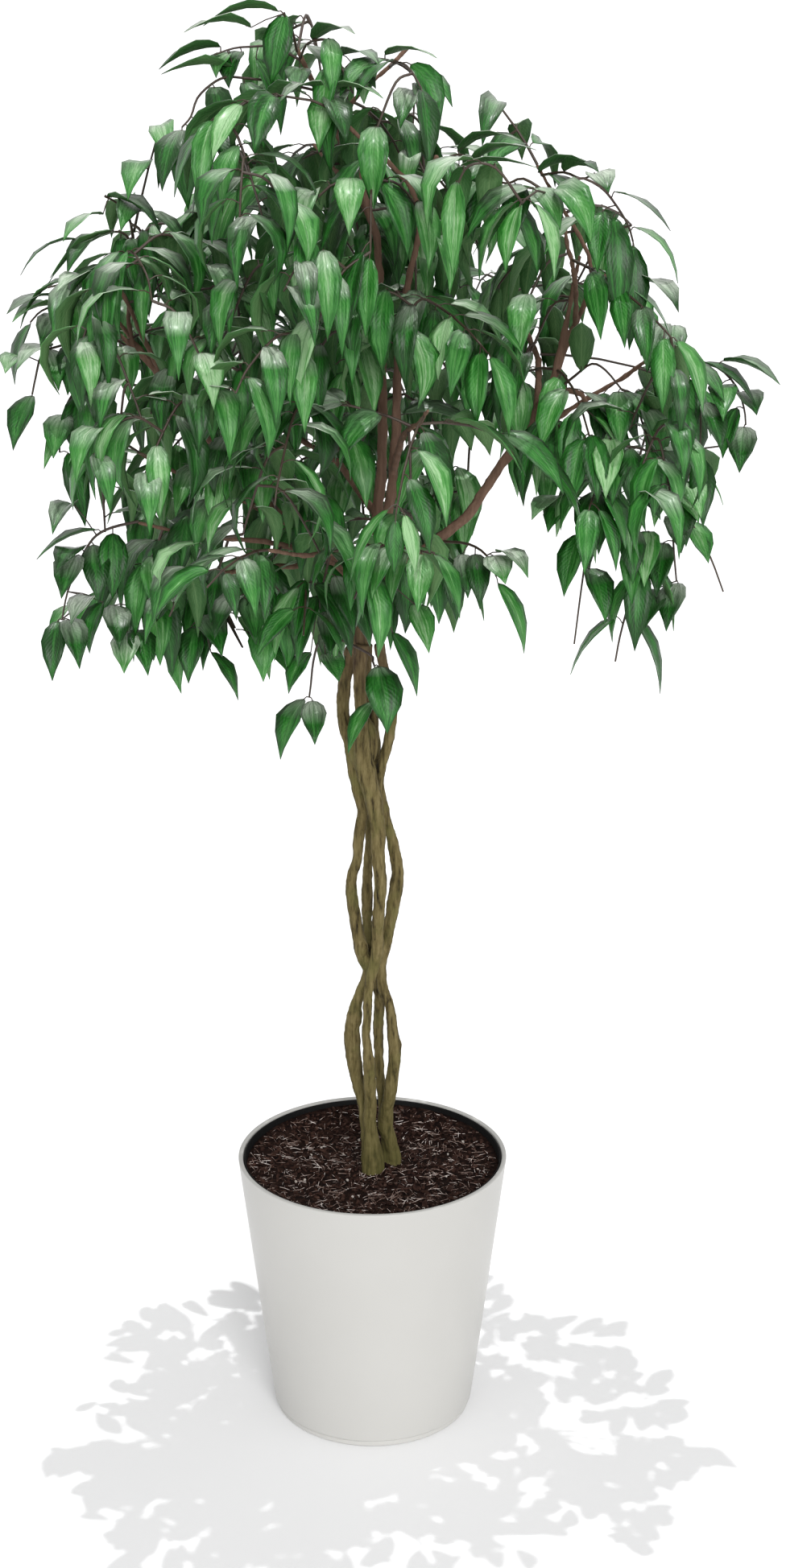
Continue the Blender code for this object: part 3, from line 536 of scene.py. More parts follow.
mixShape = {"sides": 96, "rings": 22, "top": 0.3245, "lump": 0.0034, "lumpScale": 0.020, "fine": 0.0022,
            "fineScale": 0.006, "bank": 0.0170, "bankFrom": 0.095, "bankSides": 0.62, "bankBehind": 0.38,
            "lowGap": 0.012, "topGap": 0.0004}
mixRadius = (planterWall(mixShape["top"]) - planterShape["wall"] - linerShape["gap"] - linerShape["wall"]
             - mixShape["topGap"])


def makeMix():
    shape = mixShape
    low = soilLow.z
    lowRadius = planterWall(low) - planterShape["wall"] - shape["lowGap"]
    mix = discAt(lowRadius, low, shape["sides"])
    drawOut(shape["top"] - low, mixRadius / lowRadius, shape["top"])
    for _ in range(shape["rings"]):
        bpy.ops.mesh.inset(thickness=mixRadius / (shape["rings"] + 0.6))
    bpy.ops.mesh.poke()
    endEdit(turnOutward=True)
    top = mix.vertex_groups.new(name="top")
    inside = [v.index for v in mix.data.vertices
              if v.co.z > shape["top"] - 0.001 and math.hypot(v.co.x, v.co.y) < mixRadius - 0.002]
    top.add(inside, 1.0, "REPLACE")
    displaceBy(mix, "lumps", "BLENDER_ORIGINAL", shape["lumpScale"], 2, shape["lump"], 0.45, direction="Z",
               vertex_group="top")
    displaceBy(mix, "fineLumps", "BLENDER_ORIGINAL", shape["fineScale"], 2, shape["fine"], 0.5, direction="Z",
               vertex_group="top")
    # it is banked up at the edge, most at the back
    for vertex in mix.data.vertices:
        reach = math.hypot(vertex.co.x, vertex.co.y)
        if vertex.co.z > low + 0.01 and reach > shape["bankFrom"]:
            share = min(1.0, (reach - shape["bankFrom"]) / (mixRadius - shape["bankFrom"]))
            vertex.co.z += shape["bank"] * share * share * (3 - 2 * share) * (
                shape["bankSides"] + shape["bankBehind"] * vertex.co.y / reach)
            # and out to the pot's wall, which leans outward
            widened = 1 + (planterWall(vertex.co.z) - planterWall(shape["top"])) * share * share / reach
            vertex.co.x *= widened
            vertex.co.y *= widened
    mix.name = "pottingMix"
    mix.data.name = "pottingMix"
    smoothShade(mix, 60)
    wear(mix, "mix")
    finishPiece(mix, "soil", "soil")
    return mix


def roughLump(size, squash, rng):
    bpy.ops.mesh.primitive_ico_sphere_add(subdivisions=1, radius=size)
    lump = bpy.context.object
    startEdit()
    bpy.ops.transform.resize(value=squash)
    endEdit()
    for vertex in lump.data.vertices:
        vertex.co *= rng.uniform(*lumpUneven)
    settle(lump)
    return lump


def bentFibre(length, radius, bend, rng):
    bpy.ops.mesh.primitive_cylinder_add(vertices=4, radius=radius, depth=length, end_fill_type="TRIFAN")
    fibre = bpy.context.object
    startEdit()
    bpy.ops.mesh.subdivide(number_cuts=1)
    endEdit()
    twist = rng.uniform(-fibreTwist, fibreTwist)
    for vertex in fibre.data.vertices:
        share = vertex.co.z / length
        vertex.co.x += bend * length * (share * share - 0.12)
        vertex.co.y += twist * bend * length * share * share * share
    fibre.data.transform(Matrix.Rotation(math.radians(90), 4, "Y"))
    return fibre


mixSeed = 4
lumpUneven = (0.72, 1.25)
fibreTwist = 0.6
bitsInside = 0.004
mixBits = {
    "mixCrumbs": {"masters": 4, "size": 0.0021, "squash": ((0.7, 1), (0.6, 0.9)), "count": 1000,
                  "sink": 0.0006, "scales": (0.5, 1.7), "flat": 1.2, "finish": "crumb"},
    "barkChips": {"masters": 4, "size": 0.0042, "squash": ((0.4, 0.7), (0.16, 0.3)), "count": 420,
                  "sink": 0.0012, "scales": (0.5, 1.6), "flat": 0.5, "finish": "crumb"},
    "coirFibres": {"masters": 5, "length": 0.0100, "radius": 0.00025, "bend": (0.0, 0.4), "count": 1350,
                   "sink": 0.0014, "scales": (0.25, 1.6), "flat": 0.18, "finish": "fibre"},
    "perliteGrit": {"masters": 3, "size": 0.0016, "squash": ((0.7, 1), (0.6, 0.9)), "count": 26,
                    "sink": 0.0010, "scales": (0.6, 1.6), "flat": 1.0, "finish": "grit"},
}


def bitMaster(plan, rng):
    if "bend" in plan:
        return bentFibre(plan["length"], plan["radius"], rng.uniform(*plan["bend"]), rng)
    return roughLump(plan["size"], (1, *[rng.uniform(*limits) for limits in plan["squash"]]), rng)


def scatterBits(name, plan, surface, rng):
    masters = [bitMaster(plan, rng) for _ in range(plan["masters"])]
    copies = []
    for number in range(plan["count"]):
        angle = rng.uniform(0, 2 * math.pi)
        reach = (mixRadius - bitsInside) * math.sqrt(rng.random())
        above = Vector((reach * math.cos(angle), reach * math.sin(angle), mixShape["top"] + 0.05))
        hit = surface.ray_cast(above, Vector((0, 0, -1)))[0]
        if hit is None:
            continue
        copy = duplicated(masters[number % len(masters)])
        tilt = [Matrix.Rotation(rng.uniform(-plan["flat"], plan["flat"]), 4, axis) for axis in "XY"]
        turn = Matrix.Rotation(rng.uniform(0, 2 * math.pi), 4, "Z")
        scale = Matrix.Diagonal((*[rng.uniform(*plan["scales"])] * 3, 1))
        place = Matrix.Translation(hit + Vector((0, 0, plan["sink"])))
        copy.data.transform(place @ turn @ (tilt[0] @ tilt[1]) @ scale)
        copies.append(copy)
    bits = joined(copies, name)
    wear(bits, plan["finish"])
    for master in masters:
        bpy.data.objects.remove(master, do_unlink=True)
    finishPiece(bits, "soil")


mixTree = treeOf(makeMix())
mixRng = random.Random(mixSeed)
for name, plan in mixBits.items():
    scatterBits(name, plan, mixTree, mixRng)
print("potting mix filled")


# Trunk and boughs. The strands of the braid follow the photograph up to where the crown's wood
# begins: pixel column, pixel row, depth in millimetres, and thickness in pixels

braidStrands = {
    "leftStrand": (
        (463, 1470, 2, 27), (463, 1452, 2, 28), (461, 1425, 2, 24), (457, 1400, 2, 19), (453, 1378, 3, 15),
        (448, 1358, 4, 14), (443.5, 1340, 5, 15), (440, 1320, 6, 17), (438, 1303, 6, 19),
        (437.5, 1289, 6, 20.5), (437.5, 1275, 6, 18), (439.5, 1258, 6, 15.5), (443.5, 1243, 5, 13),
        (449, 1230, 4, 12), (455, 1216, 2, 13), (457, 1203, 1, 13), (452.5, 1191, 0, 17),
        (448.5, 1180, 0, 17), (445, 1163, 0, 14.5), (441, 1140, -1, 15), (437.5, 1119, -2, 15),
        (436.4, 1100, -3, 13.6), (437.6, 1087, -3, 12.5), (442.5, 1070, -3, 11.5), (444.5, 1057, -3, 12.5),
        (445.4, 1041, -3, 13.5), (447.5, 1025, -2, 13.5), (451, 1009, 0, 14), (449, 995, 2, 15),
        (445, 978, 0, 17), (441.5, 960, 0, 17), (437.5, 940, 0, 16), (433, 920, 2, 16),
        (428.5, 900, 4, 16.5), (426, 882, 6, 16), (425.5, 865, 8, 16), (428, 845, 9, 16),
        (433, 825, 10, 19), (439, 806, 10, 18)),
    "frontStrand": (
        (462, 1470, -4, 24), (461, 1440, -4, 24), (460, 1405, -6, 17), (459.5, 1375, -12, 15),
        (459.5, 1345, -18, 15), (458, 1322, -21, 14), (456, 1308, -22, 12), (454.8, 1290, -22, 10.5),
        (455.6, 1270, -21, 11), (456.5, 1250, -18, 10.5), (458, 1232, -14, 11), (461, 1215, -11, 13),
        (465, 1198, -10, 14), (468, 1180, -12, 15), (469.5, 1160, -16, 14.5), (470, 1140, -19, 14.6),
        (471.2, 1120, -21, 14), (472.3, 1100, -22, 14.8), (470.8, 1082, -22, 15.5), (469.6, 1060, -21, 17),
        (469.6, 1040, -19, 19), (468, 1020, -17, 19), (465, 1000, -15, 21), (460, 980, -14, 23),
        (455, 962, -14, 24), (451.5, 945, -14, 23), (450, 925, -15, 20), (449, 900, -18, 16),
        (447.5, 875, -19, 15), (447, 850, -18, 15), (447, 825, -16, 17), (450, 800, -15, 18)),
    "backStrand": (
        (484, 1462, 24, 16), (481, 1420, 24, 15), (477.5, 1385, 24, 13), (474.5, 1355, 23, 12),
        (471.5, 1330, 21, 11.6), (469.8, 1308, 20, 12), (469.6, 1288, 20, 12.3), (470.3, 1268, 19, 12.6),
        (471.4, 1248, 17, 13.2), (471.5, 1232, 14, 14), (469, 1215, 11, 14), (465, 1198, 11, 13),
        (461, 1180, 13, 12.5), (458, 1162, 17, 12), (455.8, 1141, 20, 12), (456, 1120, 22, 14),
        (456, 1100, 22, 12.6), (457, 1072, 22, 11), (459, 1042, 20, 11), (460, 1015, 17, 12),
        (461.5, 992, 14, 14), (464, 965, 12, 14), (465.5, 938, 14, 14), (465, 915, 18, 14),
        (461, 885, 20, 14), (456, 850, 20, 14), (454, 825, 19, 14), (456, 800, 18, 14)),
    "rightStrand": (
        (490, 1462, 20, 18), (489.5, 1440, 20, 15.5), (484.5, 1416, 18, 17), (478.5, 1398, 14, 18),
        (479.5, 1382, 8, 17), (482.5, 1366, 0, 15), (485.5, 1345, -4, 15.5), (488.5, 1325, -6, 14.5),
        (490, 1307, -6, 15.6), (489.8, 1295, -6, 15.4), (487.5, 1279, -6, 13.2), (485, 1260, -5, 12.4),
        (481.5, 1243, -3, 11.5), (476.5, 1228, 0, 12), (474, 1212, 1, 13), (473.5, 1196, 1, 14),
        (476, 1180, 0, 15), (481.5, 1161, 0, 14), (486, 1140, 1, 14.4), (489.3, 1118, 2, 15.6),
        (492.5, 1099, 3, 16.6), (494, 1082, 3, 14.4), (490.5, 1060, 3, 14.6), (485.5, 1040, 3, 12),
        (480.5, 1022, 2, 12), (475.5, 1004, 2, 13), (471, 985, 2, 14), (470.5, 970, 0, 13),
        (474, 950, -1, 12), (479.5, 933, -2, 12), (484, 915, -3, 12.5), (487, 893, -4, 12.5),
        (487, 870, -6, 12.5), (482, 845, -8, 12), (475, 822, -9, 12), (471, 800, -10, 13)),
}

trunkShape = {
    "crownFrom": 1.052,
    "split": 1.125,
    "voxel": 0.0012,
    "smoothRounds": 4,
    "keepTrunk": 0.50,
    "keepBoughs": 0.32,
    "thicker": 1.04,
    "lump": 0.0026,
    "lumpScale": 0.013,
    "sway": 0.0026,
    "swayScale": 0.035,
}

# Scars and swellings on it: middle, and how far to each side, deep and up
trunkKnots = (
    ((-0.0210, 0.004, 0.5330), (0.0095, 0.0090, 0.016)),
    ((-0.0130, -0.004, 0.6300), (0.0085, 0.0080, 0.013)),
    ((-0.0110, -0.006, 0.8950), (0.0190, 0.0110, 0.036)),
    ((-0.0150, -0.004, 1.0330), (0.0140, 0.0140, 0.032)),
)
trunkStub = (((-0.012, 0.000, 1.047), 0.0055), ((-0.034, -0.004, 1.053), 0.0055))


def cutLevel(height, **side):
    startEdit()
    bpy.ops.mesh.bisect(plane_co=(0, 0, height), plane_no=(0, 0, 1), use_fill=True, **side)
    endEdit()


def crownWood():
    # the stems' copy, without its braid
    copies = []
    for name in ("stem_a", "stem_b"):
        copy = bpy.data.objects.new(name + "Copy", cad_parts[name].data.copy())
        scene.collection.objects.link(copy)
        copies.append(copy)
    crown = joined(copies, "crownWood")
    startEdit()
    bpy.ops.mesh.remove_doubles(threshold=0.00001)
    endEdit()
    cutLevel(trunkShape["crownFrom"], clear_inner=True)
    return crown


def tubeMesh(name, lines, roundness):
    # each line is a row of places with their radii
    curve = bpy.data.curves.new(name, "CURVE")
    curve.dimensions = "3D"
    curve.bevel_depth = 1.0
    curve.bevel_resolution = roundness
    curve.use_fill_caps = True
    for line in lines:
        spline = curve.splines.new("POLY")
        spline.points.add(len(line) - 1)
        for spot, (place, radius) in zip(spline.points, line):
            spot.co = (*place, 1)
            spot.radius = radius
    tube = bpy.data.objects.new(name, curve)
    scene.collection.objects.link(tube)
    makeActive(tube)
    bpy.ops.object.convert(target="MESH")
    return bpy.context.object


def makeStrand(name, rows):
    places = [fromPhoto(x, y, depth / 1000) for x, y, depth, _ in rows]
    radii = [row[3] / 2 * pixelSize(place) * trunkShape["thicker"] for row, place in zip(rows, places)]
    line = smoothPath(places, 4)
    return tubeMesh(name, [list(zip(line, np.interp(np.arange(len(line)) / 4, range(len(radii)), radii)))], 5)


def makeTrunk():
    shape = trunkShape
    pieces = [crownWood()]
    pieces += [makeStrand(name, rows) for name, rows in braidStrands.items()]
    pieces.append(tubeMesh("stub", [trunkStub], 5))
    # where strands cross they have grown into each other
    for middle, reach in trunkKnots:
        bpy.ops.mesh.primitive_uv_sphere_add(segments=24, ring_count=16, radius=1, location=middle,
                                             scale=reach)
        pieces.append(bpy.context.object)
        settle(pieces[-1])
    trunk = joined(pieces, "braidedTrunk")
    applyModifier(trunk, "REMESH", mode="VOXEL", voxel_size=shape["voxel"])
    applyModifier(trunk, "SMOOTH", factor=0.5, iterations=shape["smoothRounds"])
    for direction, kind in (("X", "BLENDER_ORIGINAL"), ("Y", "IMPROVED_PERLIN")):
        displaceBy(trunk, "sway" + direction, kind, shape["swayScale"], 1, shape["sway"], 0.5,
                   direction=direction)
    displaceBy(trunk, "barkLumps", "BLENDER_ORIGINAL", shape["lumpScale"], 2, shape["lump"], 0.46)
    # the crown's wood is parted off, so that each piece stays light
    boughs = duplicated(trunk)
    boughs.name = "crownBoughs"
    for piece, side, keep in ((trunk, "clear_outer", shape["keepTrunk"]),
                              (boughs, "clear_inner", shape["keepBoughs"])):
        makeActive(piece)
        cutLevel(shape["split"], **{side: True})
        applyModifier(piece, "DECIMATE", ratio=keep)
        bpy.ops.object.shade_smooth()
        wear(piece, "bark")
    finishPiece(trunk, "bark", "stem_a", "stem_b")
    finishPiece(boughs, "bark")
    return boughs


boughs = makeTrunk()
print("trunk grown")


# One leaf, modelled once: a flat blade cut to shape and given its thickness

leafShape = {
    "across": 4,
    "rows": (0.0, 0.06, 0.20, 0.40, 0.63, 0.84, 1.0),
    "widths": (0.0, 0.40, 0.81, 1.00, 0.75, 0.28, 0.0),
    "thickness": 0.0007,
    "unitThickness": 0.01,
    "petioleRadius": 0.0008,
    "twigRadius": 0.0018,
    "twigTipRadius": 0.0011,
    "narrowed": 0.84,
    "waves": 9,
    # how level a part of the blade must lie before it gets the painted sheen
    "paintedSheenFrom": 0.76,
}


def makeLeafMaster():
    shape = leafShape
    rowCount = len(shape["rows"])
    bpy.ops.mesh.primitive_grid_add(x_subdivisions=shape["across"], y_subdivisions=rowCount - 1, size=2)
    leaf = bpy.context.object
    leaf.name = "leafMaster"
    for vertex in leaf.data.vertices:
        row = round((vertex.co.y + 1) / 2 * (rowCount - 1))
        vertex.co.x *= shape["widths"][row]
        vertex.co.y = shape["rows"][row]
    # the pattern on the blade runs with the true rows
    layer = leaf.data.uv_layers[0]
    for loop in leaf.data.loops:
        vertex = leaf.data.vertices[loop.vertex_index]
        layer.uv[loop.index].vector = (layer.uv[loop.index].vector.x, vertex.co.y)
    wear(leaf, "leafTop", "leafUnder", "twig")
    startEdit()
    bpy.ops.mesh.remove_doubles(threshold=0.0001)
    bpy.ops.mesh.solidify(thickness=shape["unitThickness"])
    endEdit(turnOutward=True)
    for polygon in leaf.data.polygons:
        polygon.material_index = 1 if polygon.normal.z < -0.5 else 0
        polygon.use_smooth = True
    # each leaf's tone, and its painted sheen
    for name in ("leafTone", "leafPaintedSheen"):
        leaf.data.attributes.new(name, "FLOAT", "POINT")
    return leaf


leafMaster = makeLeafMaster()
masterPoints = np.array([vertex.co for vertex in leafMaster.data.vertices])
print("leaf modelled:", len(leafMaster.data.polygons), "faces")


# A leaf's lie: four places along its midrib, its two upward directions and its width

spineShares = np.array((0.0, 0.33, 0.74, 1.0))
upsTurn = (0.33, 0.41)


def spineWeights(shares):
    weights = np.ones((len(shares), 4))
    for i in range(4):
        for k in range(4):
            if k != i:
                weights[:, i] *= (shares - spineShares[k]) / (spineShares[i] - spineShares[k])
    return weights


def unitRows(vectors):
    return vectors / np.maximum(np.linalg.norm(vectors, axis=1, keepdims=True), 1e-9)


def leafFrame(leaf, shares):
    spine = np.array(leaf["spine"])
    places = spineWeights(shares) @ spine
    tangents = unitRows(spineWeights(shares + 0.01) @ spine - spineWeights(shares - 0.01) @ spine)
    blend = np.clip((shares - upsTurn[0]) / upsTurn[1], 0, 1)[:, None]
    ups = np.array(leaf["ups"][0]) * (1 - blend) + np.array(leaf["ups"][1]) * blend
    sides = unitRows(np.cross(tangents, ups))
    return places, sides, unitRows(np.cross(sides, tangents))


def bentLeaf(leaf):
    places, sides, ups = leafFrame(leaf, masterPoints[:, 1])
    across = masterPoints[:, 0:1]
    half = leaf["width"] / 2
    depth = masterPoints[:, 2:3] / leafShape["unitThickness"] * leafShape["thickness"]
    wave = leaf["wave"] * np.sin(masterPoints[:, 1:2] * leafShape["waves"] + leaf["phase"])
    lift = half * (leaf["fold"] * np.abs(across) + wave * across ** 2 * np.sign(across + 1e-6))
    points = places + sides * across * half + ups * (lift + depth)
    copy = duplicated(leafMaster)
    copy.data.vertices.foreach_set("co", points.astype(np.float32).ravel())
    # painted sheen: the level parts of a blade are painted paler, standing in for the bright sky that they
    # reflect
    paintedSheen = leaf["paintedSheen"] * np.clip((ups[:, 2] - leafShape["paintedSheenFrom"]) / (1 - leafShape["paintedSheenFrom"]), 0, 1)
    for name, values in (("leafTone", np.full(len(points), leaf["tone"])), ("leafPaintedSheen", paintedSheen)):
        copy.data.attributes[name].data.foreach_set("value", values.astype(np.float32))
    return copy


def buildSpray(name, twigPath, leaves, *replaced):
    shape = leafShape
    count = len(twigPath) - 1
    pieces = [bentLeaf(leaf) for leaf in leaves]
    lines = [[(place, shape["twigRadius"] + (shape["twigTipRadius"] - shape["twigRadius"]) * i / count)
              for i, place in enumerate(twigPath)]]
    for leaf in leaves:
        start = Vector(leaf["root"])
        end = Vector(leaf["spine"][0])
        onward = Vector(leaf["spine"][1]) - end
        middle = start.lerp(end, 0.55) + Vector((0, 0, 0.0015))
        places = (start, middle, end, end + onward * 0.25)
        radii = [shape["petioleRadius"] * share for share in (1, 0.9, 0.9, 0.5)]
        lines.append(list(zip(places, radii)))
    twig = tubeMesh("twig", lines, 1)
    wear(twig, "leafTop", "leafUnder", "twig")
    for polygon in twig.data.polygons:
        polygon.material_index = 2
        polygon.use_smooth = True
    spray = joined(pieces + [twig], name)
    finishPiece(spray, "leaf", *replaced)


# The crown's body in the photograph's view: pixel row with its left and right edge, pixel column with
# its lower edge, and the openings and the places where the wood lies bare as middle and half size

crownRows = ((20, 333, 352), (50, 304, 418), (80, 298, 438), (110, 257, 558), (140, 249, 542),
             (170, 203, 620), (200, 194, 640), (230, 200, 724), (260, 135, 735), (290, 110, 787),
             (320, 110, 803), (350, 79, 802), (380, 67, 809), (410, 43, 833), (440, 35, 847),
             (470, 57, 919), (500, 94, 937), (530, 92, 929), (560, 76, 933), (590, 67, 889), (620, 82, 882),
             (650, 94, 863), (680, 91, 856), (710, 73, 837), (740, 99, 847), (770, 63, 766), (800, 49, 732),
             (840, 57, 508))
crownUnder = ((50, 817), (80, 822), (110, 799), (140, 799), (170, 822), (200, 821), (230, 838), (260, 815),
              (290, 782), (320, 829), (350, 819), (380, 818), (410, 825), (500, 832), (530, 789),
              (560, 749), (590, 744), (620, 763), (650, 619), (680, 622), (710, 727), (740, 796),
              (770, 764), (800, 740), (830, 766), (860, 674), (890, 601), (920, 572))
crownGaps = ((749, 448, 49, 58), (622, 651, 26, 53), (671, 236, 55, 34), (365, 149, 27, 35),
             (589, 566, 23, 30), (752, 716, 19, 42), (207, 252, 33, 22), (485, 110, 32, 33),
             (706, 644, 26, 26), (296, 150, 14, 33), (124, 652, 36, 20), (891, 563, 22, 21),
             (172, 574, 12, 23), (701, 454, 11, 20), (490, 820, 16, 28), (514, 801, 11, 20),
             (910, 511, 11, 18), (630, 323, 13, 13), (283, 683, 9, 18), (814, 658, 10, 17),
             (538, 763, 18, 16), (600, 343, 13, 12), (716, 332, 13, 15), (570, 155, 25, 12),
             (663, 349, 13, 11), (157, 499, 9, 22), (390, 810, 12, 15), (200, 376, 11, 13),
             (291, 92, 24, 12), (699, 506, 12, 11), (299, 793, 17, 21), (790, 740, 12, 15),
             (91, 745, 13, 18), (240, 812, 18, 30))
bareWood = ((579, 636, 13, 13), (590, 618, 13, 13), (602, 600, 13, 13), (614, 581, 13, 13),
            (625, 563, 12, 12), (655, 514, 12, 14), (668, 488, 13, 16), (680, 462, 11, 14),
            (690, 438, 10, 14), (700, 416, 9, 14), (712, 394, 9, 12), (452, 262, 14, 18),
            (462, 290, 15, 18), (476, 318, 15, 18), (492, 338, 13, 14), (470, 506, 12, 18),
            (480, 536, 13, 20), (482, 570, 13, 20), (482, 604, 13, 20), (446, 615, 16, 24))

viewCell = 7
viewCells = (140, 150)
# where a blade is tried against the view: along it, and across it
bladeShares = np.array((0.08, 0.20, 0.32, 0.44, 0.56, 0.68, 0.80, 0.93))
bladeWidths = np.interp(bladeShares, leafShape["rows"], leafShape["widths"])
bladeAcross = (-0.8, -0.4, 0.0, 0.4, 0.8)


def inAny(ovals, x, y):
    return any(((x - middleX) / wide) ** 2 + ((y - middleY) / high) ** 2 < 1
               for middleX, middleY, wide, high in ovals)


def inCrownView(x, y):
    if not crownRows[0][0] <= y <= crownRows[-1][0]:
        return False
    for low, high in zip(crownRows, crownRows[1:]):
        if low[0] <= y <= high[0]:
            share = (y - low[0]) / (high[0] - low[0])
            if not low[1] + (high[1] - low[1]) * share <= x <= low[2] + (high[2] - low[2]) * share:
                return False
    return y <= np.interp(x, *zip(*crownUnder)) and not inAny(crownGaps, x, y)


cellMiddles = [[((i + 0.5) * viewCell, (j + 0.5) * viewCell) for j in range(viewCells[1])]
               for i in range(viewCells[0])]
insideView = np.array([[inCrownView(x, y) for x, y in column] for column in cellMiddles])
bareView = np.array([[inAny(bareWood, x, y) for x, y in column] for column in cellMiddles])


def leafMiddle(leaf):
    return tuple((leaf["spine"][1] + leaf["spine"][2]) / 2)


def coveredCells(leaves):
    # the cells of the view that the blades of these leaves lie over
    points = []
    for leaf in leaves:
        places, sides, _ = leafFrame(leaf, bladeShares)
        for across in bladeAcross:
            points.append(places + sides * (across * leaf["width"] / 2 * bladeWidths)[:, None])
    cells = (onPhoto(np.concatenate(points)) / viewCell).astype(int)
    cells = cells[(cells >= 0).all(axis=1) & (cells < viewCells).all(axis=1)]
    return tuple(np.unique(cells, axis=0).T)


def hidesWood(leaf, cells):
    return bareView[cells] & (leafMiddle(leaf)[1] < cadLeafKeep["behind"])


def strayShare(leaf):
    cells = coveredCells([leaf])
    if not len(cells[0]):
        return 1.0
    return 1.0 - insideView[cells].mean() + 2.0 * hidesWood(leaf, cells).mean()


# What the CAD sprays hold, read back from their meshes: rings of three corners up to a leaf's tip

cadLeafKeep = {"least": 4, "stray": 0.55, "behind": 0.05, "farther": 2.5}
cadRings = {"merged": 0.00001, "tipEdge": 0.010, "apart": 0.0035}
crownRng = random.Random(11)

# These two are drawn after the photograph: the node that each replaces, and its leaves' width
lowShoots = {"lowShootLeft": ("spray_12", 0.031), "lowShootRight": ("spray_13", 0.047)}


def leafLooks(rng, toneMiddle=0.40):
    tone = min(1.0, max(0.0, rng.gauss(toneMiddle, 0.25)))
    return {"tone": tone, "fold": rng.uniform(0.08, 0.55), "wave": rng.uniform(0.03, 0.14),
            # the last value is how strong the painted sheen is on this leaf
            "phase": rng.uniform(0, 6.3), "paintedSheen": rng.uniform(0.0, 1.35)}


def centreOf(vertices):
    return sum((vertex.co for vertex in vertices), Vector()) / len(vertices)


def readLeaf(tip):
    ring = [edge.other_vert(tip) for edge in tip.link_edges]
    if len(ring) != 3 or min((vertex.co - tip.co).length for vertex in ring) < cadRings["tipEdge"]:
        return None
    rings = [ring]
    passed = {tip}
    for _ in range(3):
        nearer = {edge.other_vert(vertex) for vertex in rings[-1] for edge in vertex.link_edges}
        nearer -= passed | set(rings[-1])
        passed |= set(rings[-1])
        # in a fixed order, so that each run gives the same sums
        rings.append(sorted(nearer, key=lambda vertex: vertex.index))
    if [len(ring) for ring in rings[:3]] != [3, 3, 3] or len(rings[3]) < 3:
        return None
    middles = []
    ups = []
    widths = []
    for ring in (rings[1], rings[0]):
        pairs = [(ring[0], ring[1], ring[2]), (ring[1], ring[2], ring[0]), (ring[2], ring[0], ring[1])]
        a, b, ridge = max(pairs, key=lambda trio: (trio[0].co - trio[1].co).length)
        middles.append((a.co + b.co) / 2)
        ups.append((ridge.co - middles[-1]).normalized())
        widths.append((a.co - b.co).length * leafShape["narrowed"])
    return {"spine": [centreOf(rings[2]), *middles, tip.co.copy()], "ups": ups, "width": widths[0]}, rings


def readSpray(node, woodTree):
    shape = bmesh.new()
    shape.from_mesh(node.data)
    bmesh.ops.remove_doubles(shape, verts=shape.verts, dist=cadRings["merged"])
    shape.verts.index_update()
    leaves = []
    bladeCorners = set()
    for vertex in shape.verts:
        found = readLeaf(vertex)
        if found:
            leaf, rings = found
            leaves.append(leaf)
            leaf["root"] = centreOf(rings[3])
            bladeCorners |= {vertex, *rings[0], *rings[1], *rings[2]}
    stalk = [vertex for vertex in shape.verts if vertex not in bladeCorners]
    start = min(stalk, key=lambda vertex: woodTree.find_nearest(vertex.co)[3]).co.copy()
    groups = []
    for vertex in sorted(stalk, key=lambda vertex: (vertex.co - start).length):
        reach = (vertex.co - start).length
        if not groups or reach - groups[-1][0] > cadRings["apart"]:
            groups.append([reach, []])
        groups[-1][0] = reach
        groups[-1][1].append(vertex)
    path = [centreOf(vertices) for _, vertices in groups]
    for leaf in leaves:
        leaf.update(leafLooks(crownRng))
    shape.free()
    return path, leaves


def cutBack(path, leaves):
    # the twig ends just past its last leaf
    last = max(min(range(len(path)), key=lambda i: (path[i] - leaf["root"]).length) for leaf in leaves)
    return path[:max(3, last + 2)]


def makeCadSprays(woodTree):
    everyLeaf = []
    paths = []
    dropped = 0
    redrawn = [node for node, _ in lowShoots.values()]
    for name in sorted(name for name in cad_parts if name.startswith("spray_") and name not in redrawn):
        path, leaves = readSpray(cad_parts[name], woodTree)
        leaves.sort(key=lambda leaf: strayShare(leaf)
                    + cadLeafKeep["farther"] * (leaf["root"] - path[0]).length)
        stray = [leaf for leaf in leaves[cadLeafKeep["least"]:] if strayShare(leaf) > cadLeafKeep["stray"]]
        dropped += len(stray)
        leaves = leaves[:len(leaves) - len(stray)]
        path = cutBack(path, leaves)
        buildSpray("leafSpray" + name[-2:], path, leaves, name)
        everyLeaf += leaves
        paths.append(path)
    print("sprays read:", len(paths), "leaves:", len(everyLeaf), "left out beyond the outline:", dropped)
    return everyLeaf, paths


cadLeaves, twigPaths = makeCadSprays(treeOf(boughs))


# More sprays after the photograph: the depth in millimetres that the twig ends at, the pixels it
# passes, starting on the wood nearest the first, and its leaves. A leaf is its base, its tip, and
# where it faces: 0 is to the front and 90 to the right. A sixth number is its own width.

